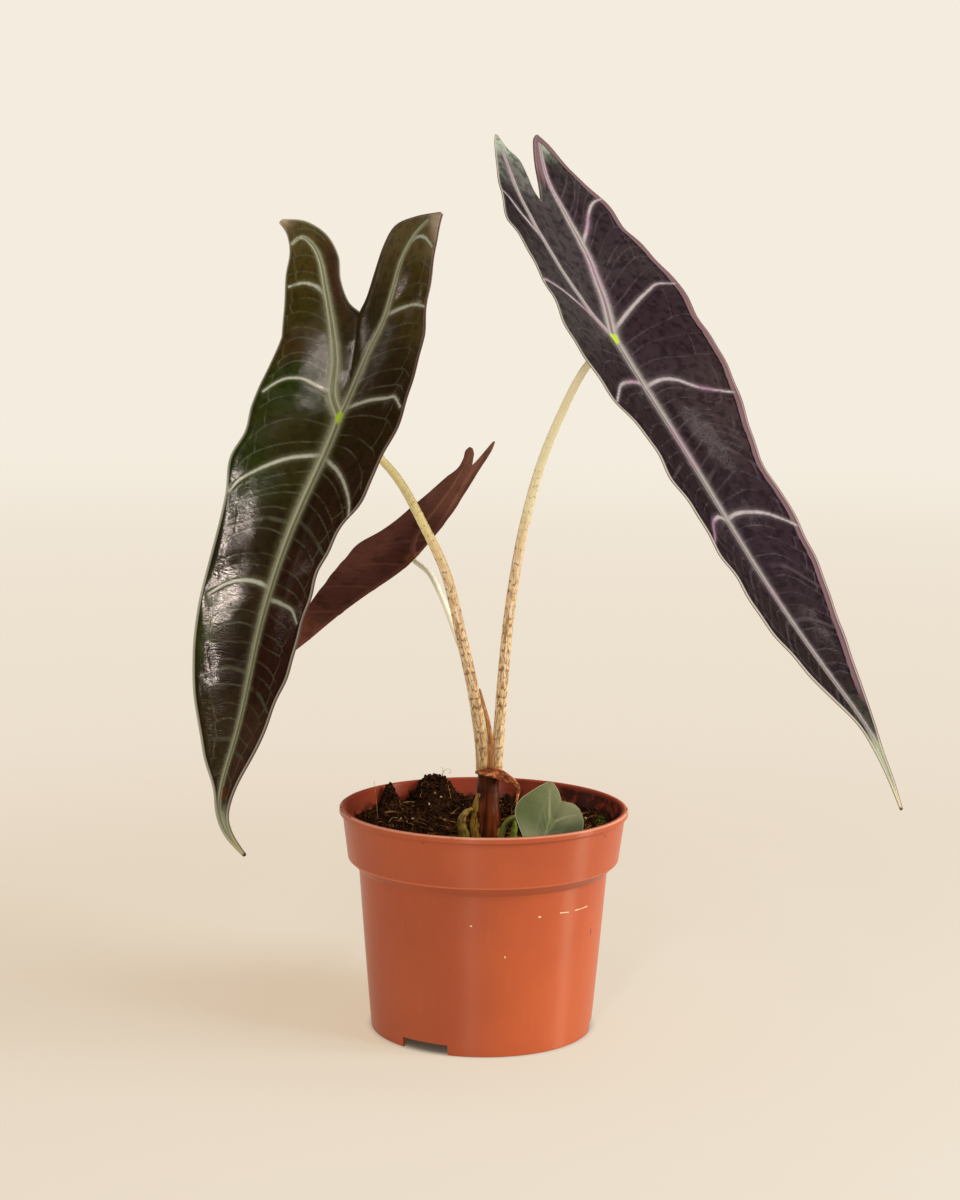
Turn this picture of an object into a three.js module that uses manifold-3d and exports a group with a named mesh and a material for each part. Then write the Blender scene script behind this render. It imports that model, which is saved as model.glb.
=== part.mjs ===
// Alocasia longiloba in a 12 cm plastic nursery pot.
// Millimetres, +Z up. The origin is the middle of the pot's base disc, on its underside.
// The plant is seen from -Y in its usual view, with +X to the right.

import * as THREE from 'three';
import { mergeVertices } from 'three/addons/utils/BufferGeometryUtils.js';
import Module from 'manifold-3d';

const wasm = await Module();
wasm.setup();

// Clearance between pieces that rest on or in one another
const GAP = 0.3;

// Pot, turned about the Z axis
const POT_HEIGHT = 93;
const POT_WALL = 1.35;
const POT_SEGMENTS = 40;
const LIP_RADIUS = 60;
const LIP_DEPTH = 2.8;
const LIP_OVERHANG = 1.3;
const BAND_MIDDLE_Z = 80;
const BAND_FOOT_Z = 71.8;
const BAND_FOOT_RADIUS = 56.3;
const BODY_TOP_Z = 67.5;
const BODY_TOP_RADIUS = 51.7;
const BODY_UPPER_Z = 52;
const BODY_MIDDLE_Z = 36;
const BODY_MIDDLE_RADIUS = 49.2;
const BODY_LOWER_Z = 20;
const FOOT_RADIUS = 46.1;
const BASE_DISC_RADIUS = 22;
const BASE_RING_Z = 4.6;
// Notches in the foot, set out in degrees from the front, plus towards +X
const FOOT_NOTCH = { width: 21, height: 4.3, depth: 9, azimuths: [-150, -30, 90] };
const DRAIN_HOLE = { count: 6, radius: 3.5, circle: 33 };

// Soil surface: a level bed that rises towards the wall, with clods
const SOIL_CENTRE_Z = 79;
const SOIL_WALL_Z = 84.5;
const SOIL_BED_RADIUS = 22;
const SOIL_CLODS = [
  { x: -21.5, y: 47, height: 12, spread: 8.6 },
  { x: -41, y: 36, height: 8.5, spread: 4.5 },
  { x: -4, y: 36, height: 5, spread: 9 },
  { x: -30, y: 10, height: 3, spread: 10 },
  { x: -44, y: -6, height: 2, spread: 7 },
  { x: 30, y: 30, height: 3.5, spread: 11 },
  { x: 46, y: 6, height: 2.5, spread: 7 },
  { x: 24, y: -40, height: -4, spread: 12 },
  { x: -10, y: -38, height: 2, spread: 12 },
];
const SOIL_SECTORS = 32;
const SOIL_RINGS = [7, 14, 21, 28, 35, 42, 49, 62];

// Neck and corm: height, sideways place of the middle, radius
const NECK_STATIONS = [
  [46, 0.6, 3.0],
  [49, 0.6, 7.2],
  [56, 0.6, 9.6],
  [64, 0.7, 9.2],
  [71, 0.8, 7.2],
  [79, 1.0, 6.0],
  [86, 1.3, 5.4],
  [92, 1.6, 4.8],
  [99, 2.1, 4.3],
  [103, 2.2, 4.6],
  [107, 2.2, 5.1],
];
const NECK_SIDES = 14;
const ROOTS = {
  count: 6,
  startZ: 52,
  startRadius: 1.7,
  endRadius: 0.5,
  reach: 33,
  shortShare: 0.7,
  endZ: 17,
  sides: 5,
  steps: 6,
};

// Petioles: middle lines from the neck up, with the radius at the foot, halfway and at the top.
// Each ends behind the blade of the same name, against the knuckle where its ribs meet.
const PETIOLES = {
  left: {
    radii: [2.75, 2.4, 1.75],
    steps: 18,
    points: [
      [-0.7, 0, 107.6], [-1.3, -0.7, 118], [-4.7, -3.7, 140.6], [-9.8, -8.2, 163.7],
      [-16.6, -14.1, 191.4], [-25.5, -21.9, 211.6], [-36.5, -31.6, 232],
    ],
  },
  right: {
    radii: [2.4, 2.1, 1.65],
    steps: 18,
    points: [
      [5.1, -0.2, 107.5], [5.6, -0.4, 118], [7.5, -2.1, 151.8], [9.8, -4.1, 177.8],
      [14.4, -7.9, 208.3], [20.8, -13.2, 235], [28.3, -19.5, 255.7], [37.5, -27.4, 275],
    ],
  },
  back: {
    radii: [1.5, 1.35, 1.15],
    steps: 14,
    points: [
      [2.3, 3.9, 107.6], [1.4, 5.2, 118], [-4.6, 12.6, 141], [-12.7, 23.4, 161.7],
      [-18.6, 31.7, 175.4], [-24.4, 39.6, 185.3],
    ],
  },
  young: {
    radii: [1.3, 1.1, 0.8],
    steps: 10,
    points: [
      [7.2, -6.4, 74], [7.2, -6.6, 81], [9.2, -8.8, 87.6], [13.8, -15.6, 91.8], [19.6, -24.2, 93],
    ],
  },
};
const PETIOLE_SIDES = 8;

// Blades. Each path row holds the way along the midrib from the junction with the petiole, the
// midrib's place, the way that the upper face looks (degrees from -Y, plus towards +X), and how far
// the two halves fold up from flat. Outlines are pairs in the blade's own plane: the way along the
// midrib and the distance from it. A margin runs from the drip tip to the shoulder beside the sinus,
// lobeOuter on to the tip of the lobe, and lobeInner from the sinus to the same tip.
const BLADES = {
  left: {
    path: [
      [-80, -50.5, -22, 330, -25, 20, 20],
      [0, -57.5, -50, 255.5, -25, 25, 25],
      [41, -71.5, -66, 221, -25, 25, 25],
      [91, -85.5, -82, 175.5, -25, 25, 25],
      [135, -94, -94, 134.5, -25, 22, 22],
      [163, -97.5, -101, 107.5, -25, 15, 15],
      [179, -88.5, -104, 95.5, -25, 10, 10],
    ],
    tip: 179,
    sinus: -45,
    thickness: 0.8,
    ridge: 1.25,
    halves: {
      left: {
        margin: [
          [178.6, 0.8], [170, 1.4], [159, 1.8], [150, 3.6], [139, 11], [121, 19], [103, 23.2], [84, 25.3],
          [62, 26.5], [46, 28.8], [33, 33], [20, 32.2], [6, 34.2], [-12, 33.2], [-32, 29.7],
        ],
        lobeOuter: [[-32, 29.7], [-46, 30.2], [-60, 30.4], [-70, 29.3], [-78, 31], [-83, 34.3]],
        lobeInner: [[-45, 0], [-49, 4.6], [-58, 8.2], [-68, 9.5], [-77, 14.6], [-83, 23.4], [-84.4, 33]],
        costa: [[0, 0], [-9, 5.6], [-24, 7.4], [-38, 10.4], [-52, 13.6], [-66, 16.6], [-76, 23]],
      },
      right: {
        margin: [
          [178.6, 0.8], [170, 2.3], [157, 5.6], [144, 9.2], [131, 14.2], [117, 18.6], [105, 22.4], [84, 24.4],
          [67, 23.5], [56, 25.8], [44, 26.8], [33, 31.6], [17, 31.8], [-3, 36], [-18, 37.6], [-29, 39],
        ],
        lobeOuter: [[-29, 39], [-43, 39.4], [-56, 40.2], [-66, 42], [-73.4, 44.4]],
        lobeInner: [[-45, 0], [-50, 3.8], [-59, 7.8], [-69, 12.6], [-75.4, 19], [-76.2, 30], [-74.6, 43.2]],
        costa: [[0, 0], [-14, 3.8], [-27, 9], [-38, 16.4], [-50, 19.6], [-60, 22.7], [-70, 29.4]],
      },
    },
  },
  right: {
    path: [
      [-92, 9.5, 2, 361.5, 48, 2, 6],
      [0, 48, -36, 287, 49, 18, 20],
      [55, 75, -57, 244, 49, 19, 21],
      [113, 103.5, -79, 198, 48, 19, 20],
      [160, 128.5, -98, 162.5, 47, 15, 18],
      [189, 143.5, -108, 140.5, 47, 14, 16],
      [214, 152, -116, 118.5, 47, 12, 13],
    ],
    tip: 214,
    sinus: -67,
    thickness: 0.8,
    ridge: 1.3,
    halves: {
      left: {
        margin: [
          [213.6, 0.8], [204, 2.2], [191, 3.9], [179, 4.6], [166, 10], [150, 17.6], [132, 24.4], [112, 28.4],
          [90, 29.3], [72, 32], [50, 32.4], [33, 40.6], [16, 45.6], [-6, 42.6], [-26, 37.6], [-50, 36],
        ],
        lobeOuter: [[-50, 36], [-62, 30.6], [-72, 24.4], [-84, 17.8], [-93, 12.6], [-98.6, 8.8]],
        lobeInner: [[-67, 0], [-72, 1.4], [-79, 0.7], [-87, 1], [-91.5, 5.4], [-97.6, 7.4]],
        costa: [[0, 0], [-9, 9.4], [-24, 14.9], [-45, 16.8], [-62, 16.4], [-78, 13.1], [-92, 9.6]],
      },
      right: {
        margin: [
          [213.6, 0.8], [204, 1.4], [191, 2.2], [177, 6], [160, 12], [140, 19.3], [122, 25.2], [104, 29],
          [90, 30.5], [74, 29.8], [56, 33.2], [36, 40], [14, 43.2], [-4, 44.2], [-20, 46.2], [-34, 42.8],
          [-52, 37.8],
        ],
        lobeOuter: [[-52, 37.8], [-66, 35.6], [-78, 29.6], [-90, 23.7], [-98, 20.4], [-101.8, 18.4]],
        lobeInner: [[-67, 0], [-74, 2.8], [-84, 6.3], [-92, 9.9], [-98.4, 13.6], [-101.4, 16.8]],
        costa: [[0, 0], [-16, 5.2], [-27, 7.2], [-40, 9.3], [-58, 9.3], [-78, 9.4], [-96, 15.4]],
      },
    },
  },
  back: {
    path: [
      [-66, -3.5, 16, 239.5, -140, 16, 24],
      [0, -32, 50, 191.5, -140, 36, 24],
      [36, -50.5, 75, 175, -140, 32, 24],
      [78, -74.5, 103, 154, -140, 27, 22],
      [121, -100, 128, 129.5, -140, 24, 20],
    ],
    tip: 121,
    sinus: -58,
    thickness: 0.8,
    ridge: 0.9,
    halves: {
      left: {
        margin: [
          [120.6, 0.8], [113, 2.6], [98, 8.4], [80, 13], [60, 17.4], [38, 22], [20, 24.4], [4, 24.8],
          [-8, 21], [-19, 16], [-27, 12.4], [-38, 9.6], [-50, 9],
        ],
        lobeOuter: [[-50, 9], [-58, 9.8], [-64, 9.6], [-69.4, 7.8]],
        lobeInner: [[-58, 0], [-61, 2.6], [-65, 4.6], [-69.2, 6.4]],
        costa: [[0, 0], [-12, 5], [-28, 6.2], [-46, 5.4], [-62, 6.2]],
      },
      right: {
        margin: [
          [120.6, 0.8], [113, 2.4], [98, 6.6], [82, 10.6], [66, 14], [52, 17.2], [38, 20.8], [22, 24.4],
          [8, 26.6], [-2, 24.6], [-14, 20], [-28, 15.4], [-42, 10.6], [-50, 7.6],
        ],
        lobeOuter: [[-50, 7.6], [-55, 5.2], [-60, 5], [-64, 5.8], [-66.4, 5]],
        lobeInner: [[-58, 0], [-61, 0.9], [-64, 1.8], [-66.2, 3.4]],
        costa: [[0, 0], [-12, 5.6], [-28, 6.4], [-46, 4.6], [-62, 3.6]],
      },
    },
  },
  young: {
    path: [
      [-16, 34, -33, 108, 5, 8, 8],
      [0, 26.5, -35, 93.5, 5, 12, 12],
      [8, 23.5, -38, 86.5, 5, 12, 12],
      [16, 21, -41.5, 79.5, 5, 8, 8],
    ],
    tip: 14.5,
    sinus: -10,
    thickness: 0.7,
    ridge: 0.5,
    halves: {
      left: {
        margin: [[14.3, 0.7], [12, 5], [8.6, 9.4], [6, 12.5], [3, 15.6], [-1, 16.8], [-5, 15.6]],
        lobeOuter: [[-5, 15.6], [-9, 13], [-12, 11], [-14.2, 9.2]],
        lobeInner: [[-10, 0], [-11.4, 1.4], [-13.4, 3.8], [-15, 7]],
        costa: [[0, 0], [-4, 2.4], [-8, 4.6], [-12, 6.8]],
      },
      right: {
        margin: [[14.3, 0.7], [12.4, 4], [9, 8], [5, 11], [0, 12.8], [-4, 12.9]],
        lobeOuter: [[-4, 12.9], [-7, 11.8], [-9.4, 9.8]],
        lobeInner: [[-10, 0], [-10.8, 2.2], [-11.4, 5], [-10.8, 7.8]],
        costa: [[0, 0], [-3, 2.4], [-6, 5], [-8, 7.6]],
      },
    },
  },
};
const ADULT_GRID = { bladeRows: 22, lobeRows: 9, columns: 5, ridgeSteps: 14, costaSteps: 9 };
const YOUNG_GRID = { bladeRows: 7, lobeRows: 5, columns: 4, ridgeSteps: 5, costaSteps: 4 };
const RIDGE_SIDES = 5;
const RIDGE_TIP_SHARE = 0.3;
const MIDRIB_START = -2;
const MIDRIB_SHARE = 0.94;
const MIDRIB_SINK = 0.5;
const COSTA_SIZE = 0.85;
const COSTA_SINK = 0.4;
const COSTA_START = 0.02;
// How far the ribs stand out behind the junction, in radii of the midrib
const KNUCKLE_DEPTH = 1.4;

// Dry sheath, withered bract and side shoot
const SHEATH = {
  points: [
    [2.3, -3.5, 107.35], [2.7, -3.9, 116.5], [2.3, -4.3, 123], [1, -4.9, 130], [-0.6, -5.9, 136.5],
    [-2.4, -7.2, 143.4],
  ],
  width: 2.2,
  thickness: 0.9,
  steps: 9,
};
const BRACT = {
  thickness: 0.7,
  steps: 16,
  // Place, then the height of the ribbon there
  stations: [
    [-3.5, -1.7, 107.4, 1.2], [-1.6, -4.5, 108, 2.4], [1.8, -5.9, 108.4, 4.2], [5.4, -5, 107.6, 4.6],
    [8.4, -4.5, 106.2, 4], [11.4, -4.6, 104.6, 2.8], [13.8, -5, 102.6, 1.8], [14.2, -5.4, 99.6, 1.4],
    [13.2, -5.8, 95.6, 1.1],
  ],
};
const SHOOT = {
  radii: [2.2, 2, 0.7],
  points: [
    [-7.4, -4.2, 74.5], [-7.9, -4.2, 81], [-9.2, -4.2, 85.4], [-8.6, -4.2, 89.4], [-6.6, -4.2, 91.6],
    [-4.8, -4.4, 92.6],
  ],
  sides: 8,
  steps: 9,
};

// Finishes
function finish(color, roughness) {
  return new THREE.MeshStandardMaterial({ color, roughness, metalness: 0 });
}
const POT_PLASTIC = finish(0xb5532f, 0.45);
const PEAT = finish(0x1e1814, 0.95);
const NECK_SKIN = finish(0x3b2016, 0.4);
const PETIOLE_SKIN = finish(0xc9b384, 0.5);
const BACK_PETIOLE_SKIN = finish(0xc6c98e, 0.5);
const LEFT_BLADE_SKIN = finish(0x1f2613, 0.35);
const RIGHT_BLADE_SKIN = finish(0x2a2229, 0.35);
const BACK_BLADE_SKIN = finish(0x4a2b28, 0.5);
const YOUNG_BLADE_SKIN = finish(0x5f7f63, 0.5);
const YOUNG_PETIOLE_SKIN = finish(0x8f9a45, 0.5);
const DRY_SKIN = finish(0xa9622c, 0.7);
const SHOOT_SKIN = finish(0x9a8a45, 0.55);

const v3 = (p) => new THREE.Vector3(p[0], p[1], p[2]);
const degrees = THREE.MathUtils.degToRad;

// Closed geometry from points and triangles, its faces turned outwards
function closedGeometry(points, triangles) {
  const volume = triangles.reduce((sum, [a, b, c]) => {
    const cross = new THREE.Vector3().crossVectors(points[b], points[c]);
    return sum + points[a].dot(cross);
  }, 0);
  const outward = volume < 0 ? triangles.map(([a, b, c]) => [a, c, b]) : triangles;
  const geometry = new THREE.BufferGeometry();
  geometry.setAttribute('position', new THREE.Float32BufferAttribute(points.flatMap((p) => p.toArray()), 3));
  geometry.setIndex(outward.flat());
  return geometry;
}

// Solids for joining and cutting
function solid(geometry) {
  const bare = geometry.clone();
  bare.deleteAttribute('normal');
  bare.deleteAttribute('uv');
  const merged = mergeVertices(bare);
  const mesh = new wasm.Mesh({
    numProp: 3,
    vertProperties: Float32Array.from(merged.attributes.position.array),
    triVerts: Uint32Array.from(merged.index.array),
  });
  return new wasm.Manifold(mesh);
}

function geometryOf(body) {
  const mesh = body.getMesh();
  const geometry = new THREE.BufferGeometry();
  geometry.setAttribute('position', new THREE.Float32BufferAttribute(mesh.vertProperties, 3));
  geometry.setIndex(Array.from(mesh.triVerts));
  return geometry;
}

function fuse(geometries) {
  return geometries.map(solid).reduce((sum, next) => sum.add(next));
}

// Natural cubic curve through values at rising knots
function naturalCubic(knots, values) {
  const last = knots.length - 1;
  const bend = new Array(last + 1).fill(0);
  const share = new Array(last + 1).fill(0);
  for (let i = 1; i < last; i += 1) {
    const before = knots[i] - knots[i - 1];
    const after = knots[i + 1] - knots[i];
    const pivot = 2 * (before + after) - before * share[i - 1];
    const turn = (values[i + 1] - values[i]) / after - (values[i] - values[i - 1]) / before;
    share[i] = after / pivot;
    bend[i] = (6 * turn - before * bend[i - 1]) / pivot;
  }
  for (let i = last - 1; i > 0; i -= 1) {
    bend[i] -= share[i] * bend[i + 1];
  }
  return (x) => {
    let i = 0;
    while (i < last - 1 && x > knots[i + 1]) {
      i += 1;
    }
    const width = knots[i + 1] - knots[i];
    const a = (knots[i + 1] - x) / width;
    const b = 1 - a;
    const curve = ((a ** 3 - a) * bend[i] + (b ** 3 - b) * bend[i + 1]) * (width ** 2 / 6);
    return a * values[i] + b * values[i + 1] + curve;
  };
}

// Tube of changing radius along a curve
function taperedTube(points, radiusAt, steps, sides) {
  const curve = new THREE.CatmullRomCurve3(points);
  const frames = curve.computeFrenetFrames(steps, false);
  const rings = [];
  for (let i = 0; i <= steps; i += 1) {
    const middle = curve.getPointAt(i / steps);
    const radius = radiusAt(i / steps);
    const ring = [];
    for (let k = 0; k < sides; k += 1) {
      const angle = (2 * Math.PI * k) / sides;
      ring.push(middle.clone()
        .addScaledVector(frames.normals[i], radius * Math.cos(angle))
        .addScaledVector(frames.binormals[i], radius * Math.sin(angle)));
    }
    rings.push(ring);
  }
  return loft(rings);
}

// Closed skin over rings of equal count, with flat ends
function loft(rings) {
  const count = rings[0].length;
  const points = rings.flat();
  const triangles = [];
  for (let i = 0; i < rings.length - 1; i += 1) {
    for (let k = 0; k < count; k += 1) {
      const a = i * count + k;
      const b = i * count + ((k + 1) % count);
      triangles.push([a, b, b + count], [a, b + count, a + count]);
    }
  }
  const end = (rings.length - 1) * count;
  for (let k = 1; k < count - 1; k += 1) {
    triangles.push([0, k + 1, k], [end, end + k, end + k + 1]);
  }
  return closedGeometry(points, triangles);
}

// Radius that runs through three values from start to end
function threeRadii(radii) {
  return naturalCubic([0, 0.5, 1], radii);
}

// Pot
function bandRadius(z) {
  const slope = (LIP_RADIUS - LIP_OVERHANG - BAND_FOOT_RADIUS) / (POT_HEIGHT - LIP_DEPTH - BAND_FOOT_Z);
  return BAND_FOOT_RADIUS + slope * (z - BAND_FOOT_Z);
}

const bodyRadius = naturalCubic(
  [0, BODY_MIDDLE_Z, BODY_TOP_Z],
  [FOOT_RADIUS, BODY_MIDDLE_RADIUS, BODY_TOP_RADIUS],
);

function potInside() {
  const floorZ = BASE_RING_Z + POT_WALL;
  const shoulderZ = BODY_TOP_Z + POT_WALL * 0.8;
  return [
    [0, POT_WALL],
    [BASE_DISC_RADIUS - POT_WALL, POT_WALL],
    [BASE_DISC_RADIUS, floorZ],
    [bodyRadius(floorZ) - POT_WALL, floorZ],
    [bodyRadius(BODY_LOWER_Z) - POT_WALL, BODY_LOWER_Z],
    [bodyRadius(BODY_MIDDLE_Z) - POT_WALL, BODY_MIDDLE_Z],
    [bodyRadius(BODY_UPPER_Z) - POT_WALL, BODY_UPPER_Z],
    [BODY_TOP_RADIUS - POT_WALL, shoulderZ],
    [BAND_FOOT_RADIUS - POT_WALL, BAND_FOOT_Z + POT_WALL * 0.8],
    [bandRadius(BAND_MIDDLE_Z) - POT_WALL, BAND_MIDDLE_Z],
    [bandRadius(POT_HEIGHT - LIP_DEPTH) - POT_WALL, POT_HEIGHT - LIP_DEPTH],
    [LIP_RADIUS - 2.6, POT_HEIGHT - 0.4],
  ];
}

function turned(profile) {
  return new THREE.LatheGeometry(profile.map(([r, z]) => new THREE.Vector2(r, z)), POT_SEGMENTS)
    .rotateX(Math.PI / 2);
}

function potGeometry() {
  const lipFoot = POT_HEIGHT - LIP_DEPTH;
  const outside = [
    [0, 0],
    [BASE_DISC_RADIUS, 0],
    [BASE_DISC_RADIUS + POT_WALL, BASE_RING_Z],
    [bodyRadius(BASE_RING_Z) - POT_WALL - 0.2, BASE_RING_Z],
    [FOOT_RADIUS - POT_WALL, 0],
    [FOOT_RADIUS, 0],
    [bodyRadius(BASE_RING_Z + 2), BASE_RING_Z + 2],
    [bodyRadius(BODY_LOWER_Z), BODY_LOWER_Z],
    [BODY_MIDDLE_RADIUS, BODY_MIDDLE_Z],
    [bodyRadius(BODY_UPPER_Z), BODY_UPPER_Z],
    [BODY_TOP_RADIUS, BODY_TOP_Z],
    [BAND_FOOT_RADIUS, BAND_FOOT_Z],
    [bandRadius(BAND_MIDDLE_Z), BAND_MIDDLE_Z],
    [bandRadius(lipFoot), lipFoot],
    [LIP_RADIUS, lipFoot + 0.4],
    [LIP_RADIUS, POT_HEIGHT - 0.5],
    [LIP_RADIUS - 0.5, POT_HEIGHT],
    [LIP_RADIUS - 2, POT_HEIGHT],
  ];
  const shell = solid(turned([...outside, ...potInside().reverse()]));
  const holes = [];
  for (let i = 0; i < DRAIN_HOLE.count; i += 1) {
    const angle = (2 * Math.PI * (i + 0.5)) / DRAIN_HOLE.count;
    const hole = new THREE.CylinderGeometry(DRAIN_HOLE.radius, DRAIN_HOLE.radius, 4 * POT_WALL, 12);
    hole.rotateX(Math.PI / 2);
    const [x, y] = [DRAIN_HOLE.circle * Math.cos(angle), DRAIN_HOLE.circle * Math.sin(angle)];
    hole.translate(x, y, BASE_RING_Z + POT_WALL / 2);
    holes.push(solid(hole));
  }
  const notches = FOOT_NOTCH.azimuths.map((azimuth) => {
    const box = new THREE.BoxGeometry(FOOT_NOTCH.width, FOOT_NOTCH.depth, 2 * FOOT_NOTCH.height);
    box.translate(0, -FOOT_RADIUS, 0);
    box.rotateZ(degrees(azimuth));
    return solid(box);
  });
  return geometryOf([...holes, ...notches].reduce((body, cut) => body.subtract(cut), shell));
}

// Soil
function soilHeight(x, y) {
  const radius = Math.hypot(x, y);
  const rise = THREE.MathUtils.smoothstep(radius, SOIL_BED_RADIUS, LIP_RADIUS - 8);
  const bed = SOIL_CENTRE_Z + (SOIL_WALL_Z - SOIL_CENTRE_Z) * rise;
  return SOIL_CLODS.reduce((z, clod) => {
    const distance = Math.hypot(x - clod.x, y - clod.y) / clod.spread;
    return z + clod.height * Math.exp(-distance * distance);
  }, bed);
}

function terrainGeometry() {
  const rings = [[new THREE.Vector2(0, 0)]];
  SOIL_RINGS.forEach((radius) => {
    const ring = [];
    for (let k = 0; k < SOIL_SECTORS; k += 1) {
      const angle = (2 * Math.PI * k) / SOIL_SECTORS;
      ring.push(new THREE.Vector2(radius * Math.cos(angle), radius * Math.sin(angle)));
    }
    rings.push(ring);
  });
  const flat = rings.flat();
  const count = flat.length;
  const points = [
    ...flat.map((p) => new THREE.Vector3(p.x, p.y, soilHeight(p.x, p.y))),
    ...flat.map((p) => new THREE.Vector3(p.x, p.y, -1)),
  ];
  const top = [];
  for (let k = 0; k < SOIL_SECTORS; k += 1) {
    const next = (k + 1) % SOIL_SECTORS;
    top.push([0, 1 + k, 1 + next]);
    for (let i = 0; i < SOIL_RINGS.length - 1; i += 1) {
      const a = 1 + i * SOIL_SECTORS + k;
      const b = 1 + i * SOIL_SECTORS + next;
      top.push([a, a + SOIL_SECTORS, b + SOIL_SECTORS], [a, b + SOIL_SECTORS, b]);
    }
  }
  const rim = 1 + (SOIL_RINGS.length - 1) * SOIL_SECTORS;
  const side = [];
  for (let k = 0; k < SOIL_SECTORS; k += 1) {
    const a = rim + k;
    const b = rim + ((k + 1) % SOIL_SECTORS);
    side.push([a, a + count, b + count], [a, b + count, b]);
  }
  const bottom = top.map(([a, b, c]) => [a + count, c + count, b + count]);
  return closedGeometry(points, [...top, ...side, ...bottom]);
}

function soilGeometry() {
  const inside = potInside().map(([r, z]) => {
    const besideWall = r > 0 ? r - GAP : 0;
    const aboveFloor = z < 2 * BASE_RING_Z ? z + GAP : z;
    return [besideWall, aboveFloor];
  });
  const wallTop = inside[inside.length - 1];
  const filling = solid(turned([...inside, [wallTop[0], POT_HEIGHT + 10], [0, POT_HEIGHT + 10]]));
  const hollows = [neckSolid(GAP), stemSolid('young', GAP), solid(shootGeometry(GAP))];
  const bed = filling.intersect(solid(terrainGeometry()));
  return geometryOf(hollows.reduce((body, hollow) => body.subtract(hollow), bed));
}

// Neck, corm and roots, grown as one
function neckSolid(clearance) {
  const rings = NECK_STATIONS.map(([z, x, radius], i) => {
    const ends = [0, NECK_STATIONS.length - 1];
    const lift = ends.includes(i) ? Math.sign(i - 1) * clearance : 0;
    const ring = [];
    for (let k = 0; k < NECK_SIDES; k += 1) {
      const angle = (2 * Math.PI * k) / NECK_SIDES;
      const reach = radius + clearance;
      ring.push(new THREE.Vector3(x + reach * Math.cos(angle), reach * Math.sin(angle), z + lift));
    }
    return ring;
  });
  const parts = [loft(rings)];
  for (let i = 0; i < ROOTS.count; i += 1) {
    const angle = (2 * Math.PI * (i + 0.3)) / ROOTS.count;
    const reach = ROOTS.reach * (i % 2 === 0 ? 1 : ROOTS.shortShare);
    const at = (share, z) => v3([reach * share * Math.cos(angle), reach * share * Math.sin(angle), z]);
    const path = [
      at(0.1, ROOTS.startZ),
      at(0.45, ROOTS.startZ - 6),
      at(0.8, ROOTS.startZ - 18),
      at(1, ROOTS.endZ + 3 * i),
    ];
    const radiusAt = (t) => ROOTS.startRadius + (ROOTS.endRadius - ROOTS.startRadius) * t + clearance;
    parts.push(taperedTube(path, radiusAt, ROOTS.steps, ROOTS.sides));
  }
  return fuse(parts);
}

function stemSolid(name, clearance) {
  const stem = PETIOLES[name];
  const radiusAt = threeRadii(stem.radii);
  const points = stem.points.map(v3);
  points.push(petioleSeat(BLADES[name], points[points.length - 1], stem.radii[2]));
  if (clearance > 0) {
    points[0].z -= clearance;
  }
  return solid(taperedTube(points, (t) => radiusAt(t) + clearance, stem.steps, PETIOLE_SIDES));
}

// Middle of a petiole's end, behind the knuckle of its blade. The more the stalk slants to the
// blade, the further back its middle ends.
function petioleSeat(blade, from, radius) {
  const { point, normal } = bladeSurface(blade.path);
  const junction = point(0, 0);
  const up = normal(0, 0);
  const square = junction.clone().sub(from).normalize().dot(up);
  const slant = Math.sqrt(1 - square * square);
  const knuckle = blade.ridge * KNUCKLE_DEPTH + blade.thickness / 4;
  return junction.addScaledVector(up, -(knuckle + GAP + radius * slant));
}

function shootGeometry(clearance) {
  const radiusAt = threeRadii(SHOOT.radii);
  const points = SHOOT.points.map(v3);
  points[0].z -= clearance;
  return taperedTube(points, (t) => radiusAt(t) + clearance, SHOOT.steps, SHOOT.sides);
}

// Blades
function bladeSurface(path) {
  const knots = path.map((row) => row[0]);
  const column = (i) => naturalCubic(knots, path.map((row) => row[i]));
  const [x, y, z, facing, foldLeft, foldRight] = [1, 2, 3, 4, 5, 6].map(column);
  const midrib = (s) => new THREE.Vector3(x(s), y(s), z(s));
  const frame = (s) => {
    const along = midrib(s + 0.5).sub(midrib(s - 0.5)).normalize();
    const turn = degrees(facing(s));
    const up = new THREE.Vector3(Math.sin(turn), -Math.cos(turn), 0);
    up.addScaledVector(along, -up.dot(along)).normalize();
    return { along, up, across: new THREE.Vector3().crossVectors(up, along) };
  };
  const point = (s, u) => {
    const { up, across } = frame(s);
    const fold = degrees(u < 0 ? foldLeft(s) : foldRight(s));
    return midrib(s)
      .addScaledVector(across, u * Math.cos(fold))
      .addScaledVector(up, Math.abs(u) * Math.sin(fold));
  };
  const normal = (s, u) => {
    if (u === 0) {
      return frame(s).up;
    }
    const step = 0.25 * Math.sign(u);
    const alongS = point(s + 0.5, u).sub(point(s - 0.5, u));
    const alongU = point(s, u + step).sub(point(s, u)).multiplyScalar(Math.sign(u));
    return new THREE.Vector3().crossVectors(alongS, alongU).normalize();
  };
  return { point, normal };
}

function outlineCurve(pairs) {
  return new THREE.SplineCurve(pairs.map(([s, u]) => new THREE.Vector2(s, u)));
}

// Rows of one half, each from the midline or the lobe's inner edge out to the margin
function halfRows(blade, half, grid) {
  const margin = outlineCurve(half.margin);
  const lobeOuter = outlineCurve(half.lobeOuter);
  const lobeInner = outlineCurve(half.lobeInner);
  const rows = [];
  for (let i = 0; i <= grid.bladeRows; i += 1) {
    const t = i / grid.bladeRows;
    rows.push([new THREE.Vector2(THREE.MathUtils.lerp(blade.tip, blade.sinus, t), 0), margin.getPointAt(t)]);
  }
  for (let i = 1; i <= grid.lobeRows; i += 1) {
    const t = i / grid.lobeRows;
    rows.push([lobeInner.getPointAt(t), lobeOuter.getPointAt(t)]);
  }
  return rows;
}

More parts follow.
